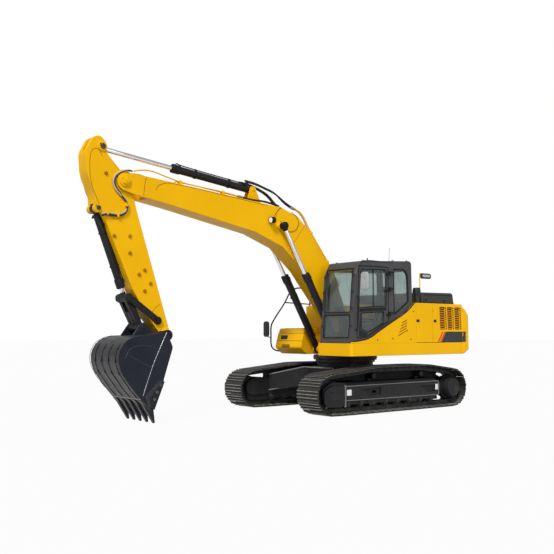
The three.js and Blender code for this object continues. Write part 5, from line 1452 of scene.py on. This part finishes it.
dressed("bucket", "bucket_shell", bucket_paint, 0.005, has_openings=True)
edges = []
for side in (1, -1):
    edges.append(pipe([spot(4.77, side * SIDE_PLATE, 1.58), spot(4.89, side * SIDE_PLATE, 1.33),
                       spot(5.01, side * SIDE_PLATE, 1.08), spot(5.222, side * SIDE_PLATE, 0.51)], 0.0075, 2,
                      3))
edges.append(pipe([spot(5.262, -SIDE_PLATE + 0.004, 0.447), spot(5.262, 0, 0.447),
                   spot(5.262, SIDE_PLATE - 0.004, 0.447)], 0.008, 2, 2))
placed(joined(edges), "bucket_worn_edges", "bucket", worn_edge)
seams = [pipe([spot(x, side * (SIDE_PLATE - 0.001), z) for x, z in BACK_LINE[2:]], 0.0045, 2,
              4) for side in (1, -1)]
placed(joined(seams), "bucket_back_seams", "bucket", cutting_steel)
pivot_ends = pin_end(4.57, 0.262, 1.53, 0.05, 1) + pin_end(4.57, -0.262, 1.53, 0.05, -1)
placed(joined(pivot_ends), "bucket_pivot_ends", "arm", black_enamel)


def along_back(share0, share1, count):
    """Places and outward directions along the bucket's back, by share of its length."""
    runs = [math.dist(a, b) for a, b in zip(BACK_LINE, BACK_LINE[1:])]
    found = []
    for k in range(count):
        goal = (share0 + (share1 - share0) * k / (count - 1)) * sum(runs)
        at = 0
        while goal > runs[at] and at < len(runs) - 1:
            goal -= runs[at]
            at += 1
        (x0, z0), (x1, z1) = BACK_LINE[at], BACK_LINE[at + 1]
        share = goal / runs[at]
        found.append((x0 + (x1 - x0) * share, z0 + (z1 - z0) * share))
    return found


def off_back(line, out):
    """The same run of places, moved square off the bucket's back."""
    moved_out = []
    for k, (x, z) in enumerate(line):
        (x0, z0), (x1, z1) = line[max(k - 1, 0)], line[min(k + 1, len(line) - 1)]
        span = math.dist((x0, z0), (x1, z1))
        moved_out.append((x + out * (z1 - z0) / span, z - out * (x1 - x0) / span))
    return moved_out


straps = []
for y in (-0.375, -0.125, 0.125, 0.375):
    line = along_back(0.14, 0.8, 12)
    inner = [(x - 0.012, z + 0.004) for x, z in line]
    straps.append(outline_plate(off_back(line, 0.009) + inner[::-1], y - 0.042, y + 0.042, 0.003))
placed(joined(straps), "bucket_wear_straps", "bucket", bucket_paint)
side_ribs = []
for side in (1, -1):
    face = side * (SIDE_PLATE + 0.004)
    side_ribs.append(pipe([spot(5.56, side * SIDE_PLATE, 1.15), spot(5.48, side * SIDE_PLATE, 1.29),
                           spot(5.33, side * SIDE_PLATE, 1.35), spot(5.06, side * SIDE_PLATE, 1.34)], 0.006,
                          2, 4))
    side_ribs.append(pipe([spot(5.48, side * SIDE_PLATE, 1.18), spot(5.08, side * SIDE_PLATE, 0.985)], 0.005,
                          1, 2))
    side_ribs.append(outline_plate([(4.842, 0.75), (4.925, 0.74), (5.185, 0.5), (5.12, 0.32), (5.06, 0.3)],
                                   side * (SIDE_PLATE + 0.001), face + side * 0.001))
placed(joined(side_ribs), "bucket_side_doublers", "bucket", cutting_steel)
cutter_bolts = []
for x, z in ((4.89, 0.68), (4.96, 0.56), (5.01, 0.44)):
    for side in (1, -1):
        cutter_bolts.append(drum(spot(x, side * 0.543, z), spot(x, side * 0.547, z), 0.03, 24, 0.001))
        cutter_bolts.append(drum(spot(x, side * 0.545, z), spot(x, side * 0.562, z), 0.018, 6, 0.002))
placed(joined(cutter_bolts), "side_cutter_bolts", "bucket", pin_steel)
TOOTH_Y = [0.45 * (2 * k / 4 - 1) for k in range(5)]
adapters = []
for y in TOOTH_Y:
    adapters.append(outline_plate([(5.035, 0.33), (5.075, 0.235), (5.262, 0.428), (5.205, 0.492),
                                   (5.13, 0.44)], y - 0.058, y + 0.058, 0.01))
    adapters.append(drum(spot(5.052, y - 0.062, 0.262), spot(5.052, y + 0.062, 0.262), 0.012, 12, 0.002))
placed(joined(adapters), "tooth_adapters", "bucket", cutting_steel)
wear_tips = [drum(spot(5.0, y, 0.105), spot(4.974, y, 0.038), 0.018, 4, 0.003) for y in TOOTH_Y]
placed(joined(wear_tips), "tooth_wear_tips", "bucket", worn_edge)

# ---- Handrail, mirrors, intake and hood. The rail is bent steel tube bolted to the tank side. The mirrors
# are glass in moulded shells on bent arms. The hood is a pressed steel lid with slots, and the intake by it
# is moulded.
RAIL_Y = -1.42
RAIL_ROUTE = ((0.66, 1.165), (0.86, 1.225), (0.905, 1.3), (0.915, 1.5), (0.905, 1.735), (0.86, 1.82),
              (0.51, 2.262), (0.35, 2.5), (0.25, 2.57), (-0.06, 2.59), (-0.2, 2.53), (-0.24, 2.4),
              (-0.245, 2.18))
rail_line = [spot(0.6, -1.371, 1.17), spot(0.603, -1.4, 1.17)]
rail_line += [spot(x, RAIL_Y, z) for x, z in RAIL_ROUTE]
rail_line += [spot(-0.241, -1.4, 2.132), spot(-0.24, -1.371, 2.13)]
rail = [pipe(rail_line, 0.0165, 3, 6), drum(spot(0.513, RAIL_Y, 2.258),
                                            spot(-0.243, RAIL_Y, 2.235), 0.0135, 16)]
for x, z in ((0.6, 1.17), (-0.24, 2.13)):
    rail.append(drum(spot(x, -1.3695, z), spot(x, -1.376, z), 0.038, 24, 0.001))
belong(joined(rail), "grab_handrail", "upper", black_enamel, ["handrail"])

mirror_glass, _, _, mirror_shader = material_named("mirror_glass")
mirror_shader.inputs["Base Color"].default_value = (0.8, 0.82, 0.84, 1)
mirror_shader.inputs["Metallic"].default_value = 1.0
mirror_shader.inputs["Roughness"].default_value = 0.06
silver_plastic = moulded("silver_plastic", (0.4, 0.41, 0.42), (0.33, 0.34, 0.35),
                         rough=(0.22, 0.34), grain=500, depth=0.05)
shell_plastic = moulded("shell_plastic", (0.011, 0.011, 0.012), (0.017, 0.017, 0.018),
                        rough=(0.4, 0.55), grain=500)


def rounded_slab(low, high, corner, thin, edge=0.0):
    """A thin box whose corners are rounded about its thin axis (0, 1 or 2), and then its rims."""
    made = block(low, high)
    alone(made)
    bpy.ops.object.mode_set(mode="EDIT")
    bpy.ops.mesh.select_mode(type="EDGE")
    bpy.ops.mesh.select_all(action="DESELECT")
    bpy.ops.object.mode_set(mode="OBJECT")
    spots = made.data.vertices
    for side_edge in made.data.edges:
        a, b = (spots[v].co for v in side_edge.vertices)
        side_edge.select = abs(a[thin] - b[thin]) > 0.0001
    bpy.ops.object.mode_set(mode="EDIT")
    bpy.ops.mesh.bevel(offset=corner, segments=7, affect="EDGES")
    bpy.ops.object.mode_set(mode="OBJECT")
    if edge > 0:
        soften(made, edge, segments=3)
    return made


def make_mirror(centre, half, depth, arm, arm_radius, shell_finish):
    """A mirror that looks back: a rounded shell, its glass set in a lip, and the arm that carries it."""
    x, y, z = centre
    wide, tall = half
    rear = x - depth / 2
    shell = rounded_slab(spot(rear, y - wide, z - tall), spot(x + depth / 2, y + wide, z + tall),
                         0.062, 0, 0.015)
    glass = rounded_slab(spot(rear - 0.0015, y - wide + 0.016, z - tall + 0.016),
                         spot(rear + 0.004, y + wide - 0.016, z + tall - 0.016), 0.048, 0)
    shell.data.materials.append(shell_finish)
    glass.data.materials.append(mirror_glass)
    stem = pipe([spot(*p) for p in arm], arm_radius, 3, 8)
    clamp = drum(spot(arm[0][0], arm[0][1], arm[0][2] - 0.02), spot(arm[0][0], arm[0][1], arm[0][2] + 0.02),
                 arm_radius + 0.009, 20, 0.002)
    for part in (stem, clamp):
        part.data.materials.append(shell_plastic)
    return joined([shell, glass, stem, clamp])


tool_box_mirror = make_mirror((0.936, -1.56, 1.655), (0.09, 0.175), 0.042,
                              ((0.93, -1.56, 1.56), (0.93, -1.51, 1.49), (0.928, -1.44, 1.47)), 0.0105,
                              shell_plastic)
belong(tool_box_mirror, "tool_box_mirror", "upper", None, ["mirror_right"])
cab_mirror = make_mirror((1.101, 1.7, 2.565), (0.09, 0.175), 0.042,
                         ((1.095, 1.7, 2.72), (1.08, 1.69, 2.8), (0.99, 1.42, 2.86), (0.915, 1.345, 2.86)),
                         0.0105, silver_plastic)
belong(cab_mirror, "cab_mirror", "upper", None, ["mirror_left"])

INTAKE = (-0.915, 1.242)
intake_parts = [drum(spot(*INTAKE, low), spot(*INTAKE, high), radius, 40, edge, 3)
                for low, high, radius, edge in ((2.2005, 2.38, 0.06, 0.003), (2.372, 2.402, 0.072, 0.006),
                                                (2.396, 2.49, 0.083, 0.006), (2.478, 2.528, 0.08, 0.022))]
intake_rib = block(spot(INTAKE[0] - 0.003, INTAKE[1] + 0.08, 2.402),
                   spot(INTAKE[0] + 0.003, INTAKE[1] + 0.0865, 2.478))
intake_parts.append(repeated(intake_rib, around_z(spot(*INTAKE, 0), 24)))
belong(joined(intake_parts), "air_intake_cap", "upper", shell_plastic, ["air_intake"])

hood_enamel = enamel("hood_enamel", (0.026, 0.0275, 0.0305), (0.036, 0.0375, 0.041), rough=(0.34, 0.52),
                     dust=(0.1, 0.095, 0.085), scuff=(0.12, 0.12, 0.125), scuff_share=0.2,
                     coat=0.05, shine=0.3)
dressed("engine_hood", "engine_hood_panel", hood_enamel, 0.01, has_openings=True)
pole = pipe([spot(-1.42, 0.9, 2.446), spot(-1.42, 0.9, 2.7), spot(-1.42, 0.9, 2.886)], 0.0115, 3, 2)
pole.data.materials.append(amber_enamel)
rear_shell = rounded_slab(spot(-1.796, 0.881, 2.765), spot(-1.426, 0.914, 2.885), 0.058, 1, 0.012)
rear_shell.data.materials.append(shell_plastic)
rear_glass = rounded_slab(spot(-1.75, 0.911, 2.8), spot(-1.5, 0.9165, 2.856), 0.026, 1)
rear_glass.data.materials.append(mirror_glass)
belong(joined([pole, rear_shell, rear_glass]), "rear_pole_mirror", "engine_hood", None,
       ["rear_mirror"])
HOOD_LEFT, HOOD_RIGHT = 1.15, -0.86
# Near-black used only as painted shade: in the hood's slots, the frames' pockets and inside the tracks.
matt_black = moulded("matt_black", (0.003, 0.003, 0.0032), (0.005, 0.005, 0.0052), rough=(0.7, 0.9))
# Near-black strips on the hood's sides, one for each slot: painted shade for the dark inside the slots.
hood_slots = []
for k in range(14):
    x = -1.3 - 0.062 * k
    for y, way in ((HOOD_LEFT, 1), (HOOD_RIGHT, -1)):
        hood_slots.append(block(spot(x - 0.046, y - 0.001 * way, 2.385),
                                spot(x, y + 0.004 * way, 2.402), 0.002))
placed(joined(hood_slots), "hood_slot_louvres", "engine_hood", matt_black)
hood_trim = [block(spot(-2.262, y - 0.003, 2.2155), spot(-1.172, y + 0.004, 2.233),
                   0.002) for y in (HOOD_LEFT, HOOD_RIGHT)]
hood_trim += [block(spot(-1.56 + dx, HOOD_LEFT - 0.002, 2.262),
                    spot(-1.5 + dx, HOOD_LEFT + 0.008, 2.3), 0.003)
              for dx in (-0.4, 0.2)]
placed(joined(hood_trim), "hood_trim_and_latches", "engine_hood", seal_rubber)

# ---- Engine and cooling pack, seen through the louvres and with the doors open: a cast iron block and an
# aluminium core of thin fins in a black steel surround.
cast_iron = enamel("cast_iron", (0.08, 0.082, 0.085), (0.045, 0.046, 0.048), rough=(0.55, 0.75),
                   dust_share=0.15, scuff=(0.16, 0.16, 0.16), scuff_share=0.3, coat=0.0, peel=0.6, shine=0.3)
dressed("engine_block", "engine_casting", cast_iron, 0.02)
fin_core, nodes, links, shader = material_named("fin_core")
where = nodes.new("ShaderNodeTexCoord")
fins = nodes.new("ShaderNodeTexWave")
fins.bands_direction = "X"
fins.inputs["Scale"].default_value = 60
links.new(where.outputs["Object"], fins.inputs["Vector"])
links.new(blended(nodes, links, fins.outputs["Fac"], (0.01, 0.01, 0.011), (0.09, 0.09, 0.092)),
          shader.inputs["Base Color"])
shader.inputs["Metallic"].default_value = 0.4
shader.inputs["Roughness"].default_value = 0.5
bumped(nodes, links, shader, fins.outputs["Fac"], 0.5, 0.002)
dressed("cooling_pack", "cooling_core", fin_core, 0.006)

# ---- Track frame side plates: a flanged plate on the outside of each frame with two cleaning pockets, plain
# white patches, and a front block round the idler's yoke. Burnt from plate and welded on, in black enamel.
FRAME_FACE = GAUGE / 2 + 0.165
PLATE_OUT = 0.03
SIDE_OUTLINE = [(1.33, 0.545), (-1.4, 0.555), (-1.42, 0.53), (-1.42, 0.29), (-1.395, 0.262), (1.33, 0.273)]
FRONT_BLOCK = [(1.35, 0.555), (1.64, 0.575), (1.8, 0.52), (1.868, 0.44), (1.872, 0.25), (1.8, 0.165),
               (1.43, 0.15), (1.35, 0.21)]
POCKETS = ([(0.885, 0.471), (0.64, 0.35), (0.353, 0.35), (0.353, 0.5)],
           [(-0.8, 0.476), (-1.05, 0.335), (-1.3, 0.335), (-1.3, 0.48)])
PATCHES = ((1.167, 1.29, 0.368, 0.48), (-1.395, -1.31, 0.372, 0.49), (0.469, 0.576, 0.39, 0.436))
# Near-black sheets inside each track, between the frame and the chain's runs: painted shade for the dark
# there, not parts of the machine.
SHADE_SHEET_INSET = 0.12
SHADE_SHEET_THICKNESS = 0.008
SHADE_SHEETS = ([(1.42, 0.6), (1.42, 0.75), (1.3, 0.765), (0.42, 0.84), (-1.0, 0.84), (-1.5, 0.775),
           (-1.75, 0.735), (-1.7, 0.64), (-1.5, 0.59)],
          [(1.86, 0.3), (1.33, 0.3), (1.33, 0.136), (1.8, 0.15)],
          [(-1.38, 0.6), (-1.59, 0.56), (-1.605, 0.4), (-1.64, 0.29), (-1.74, 0.19), (-1.74, 0.136),
           (-1.33, 0.136)],
          [(1.33, 0.31), (-1.33, 0.31), (-1.33, 0.15), (1.33, 0.15)])
LEG_TIP = (1.29, 1.02)
LEG_BEND = (0.78, 0.462)
LEG_EDGES = ((0.682, 0.842), (0.35, 0.48))
white_patch = moulded("white_patch", (0.78, 0.78, 0.77), (0.7, 0.7, 0.69), rough=(0.3, 0.4), depth=0.05)
# A light grey for the frames' and legs' edges: painted highlight, the lines where light catches them.
flange_steel = enamel("flange_steel", (0.15, 0.15, 0.154), (0.21, 0.21, 0.212), rough=(0.36, 0.55),
                      dust=(0.08, 0.075, 0.065), dust_top=0.9, dust_share=0.5, scuff=(0.12, 0.12, 0.12),
                      scuff_share=0.5, coat=0.05, shine=0.25)
for hand, side in SIDES.items():
    face = side * FRAME_FACE
    out = side * PLATE_OUT
    pocket_shade_sheets = []
    plate = outline_plate(SIDE_OUTLINE, face - side * 0.002, face + out)
    for pocket in POCKETS:
        cut_through(plate, outline_plate(pocket, face + side * 0.003, face + out + side * 0.02))
        # Each pocket is backed by a near-black sheet: painted shade for the dark inside it.
        pocket_shade_sheets.append(outline_plate(pocket, face, face + side * 0.005))
    front = outline_plate(FRONT_BLOCK, face - side * 0.002, face + out + side * 0.012, 0.012, 3)
    slot_cut = block(spot(1.64, face + out, 0.435), spot(1.74, face + out + side * 0.03, 0.452))
    cut_through(front, slot_cut)
    placed(joined([plate, front]), f"frame_side_plate_{hand}", "undercarriage", black_enamel)
    # The lips round the side plate and its front edge are in that light grey, as painted highlight.
    lips = [pipe([spot(x, face + out, z) for x, z in SIDE_OUTLINE[:3]], 0.009, 2, 2, handle="VECTOR"),
            pipe([spot(x, face + out, z) for x, z in SIDE_OUTLINE[3:]], 0.009, 2, 2, handle="VECTOR"),
            drum(spot(-1.42, face + out, 0.29), spot(-1.42, face + out, 0.53), 0.009, 12),
            block(spot(1.322, face - side * 0.002, 0.15),
                  spot(1.346, face + out + side * 0.016, 0.57), 0.004)]
    placed(joined(lips), f"frame_side_lips_{hand}", "undercarriage", flange_steel)
    patches = [block(spot(x0, face + out - side * 0.001, z0), spot(x1, face + out + side * 0.0012, z1))
               for x0, x1, z0, z1 in PATCHES[:2]]
    x0, x1, z0, z1 = PATCHES[2]
    patches.append(block(spot(x0, face + side * 0.001, z0), spot(x1, face + side * 0.005, z1)))
    placed(joined(patches), f"plain_patches_{hand}", "undercarriage", white_patch)
    inside = GAUGE / 2 - SHADE_SHEET_INSET
    # Painted shade sheets inside the chain.
    shades = [outline_plate(outline, side * (inside - SHADE_SHEET_THICKNESS), side * inside) for outline in SHADE_SHEETS]
    placed(joined(pocket_shade_sheets), f"frame_pocket_liners_{hand}", "undercarriage", matt_black)
    placed(joined(shades), f"inner_chain_guards_{hand}", "undercarriage", matt_black)
    motor = drum(spot(DRIVE_X, side * (GAUGE / 2 - 0.2), DRIVE_Z),
                 spot(DRIVE_X, side * (GAUGE / 2 - 0.42), DRIVE_Z), 0.135, 32, 0.012)
    lines = [pipe([spot(-1.78, side * 0.8, z), spot(-1.5, side * 0.76, z + 0.06),
                   spot(-1.0, side * 0.64, 0.64), spot(-0.64, side * 0.4, 0.7)], 0.016, 2, 6)
             for z in (0.4, 0.45)]
    placed(motor, f"travel_motor_{hand}", "undercarriage", black_enamel)
    placed(joined(lines), f"travel_hoses_{hand}", "undercarriage", hose_rubber)

# The legs' edges: round bar welded along the top and bottom of the car body's front and rear faces, in the
# light grey of painted highlight.
leg_lips = []
for end in (1, -1):
    for tip_z, middle_z in LEG_EDGES:
        route = [spot(end * LEG_TIP[0], LEG_TIP[1], tip_z), spot(end * LEG_BEND[0], LEG_BEND[1], middle_z),
                 spot(end * LEG_BEND[0], -LEG_BEND[1], middle_z), spot(end * LEG_TIP[0], -LEG_TIP[1], tip_z)]
        leg_lips.append(pipe(route, 0.016, 2, 2, handle="VECTOR"))
placed(joined(leg_lips), "car_body_flanges", "undercarriage", flange_steel)

# ---- Deck front: the control valve's block between the boom's brackets, cast and bolted down, with plated
# fittings and hoses that loop between its own ports.
valve = [block(spot(-0.08, -0.11, 1.364), spot(0.33, 0.11, 1.5), 0.014),
         block(spot(-0.04, -0.08, 1.498), spot(0.29, 0.08, 1.535), 0.008)]
placed(joined(valve), "control_valve_block", "upper", cast_iron)
fittings, loops = [], []
for k, x in enumerate((0.0, 0.085, 0.17, 0.255)):
    for side in (1, -1):
        fittings.append(drum(spot(x, side * 0.108, 1.44), spot(x, side * 0.14, 1.44), 0.019, 6, 0.002))
        loops.append(pipe([spot(x, side * 0.138, 1.44), spot(x, side * 0.19, 1.44),
                           spot(x - 0.01, side * 0.205, 1.405), spot(x - 0.03, side * 0.205, 1.374)], 0.0135,
                          2, 6))
placed(joined(fittings), "valve_fittings", "upper", plated)
placed(joined(loops), "valve_hoses", "upper", hose_rubber)
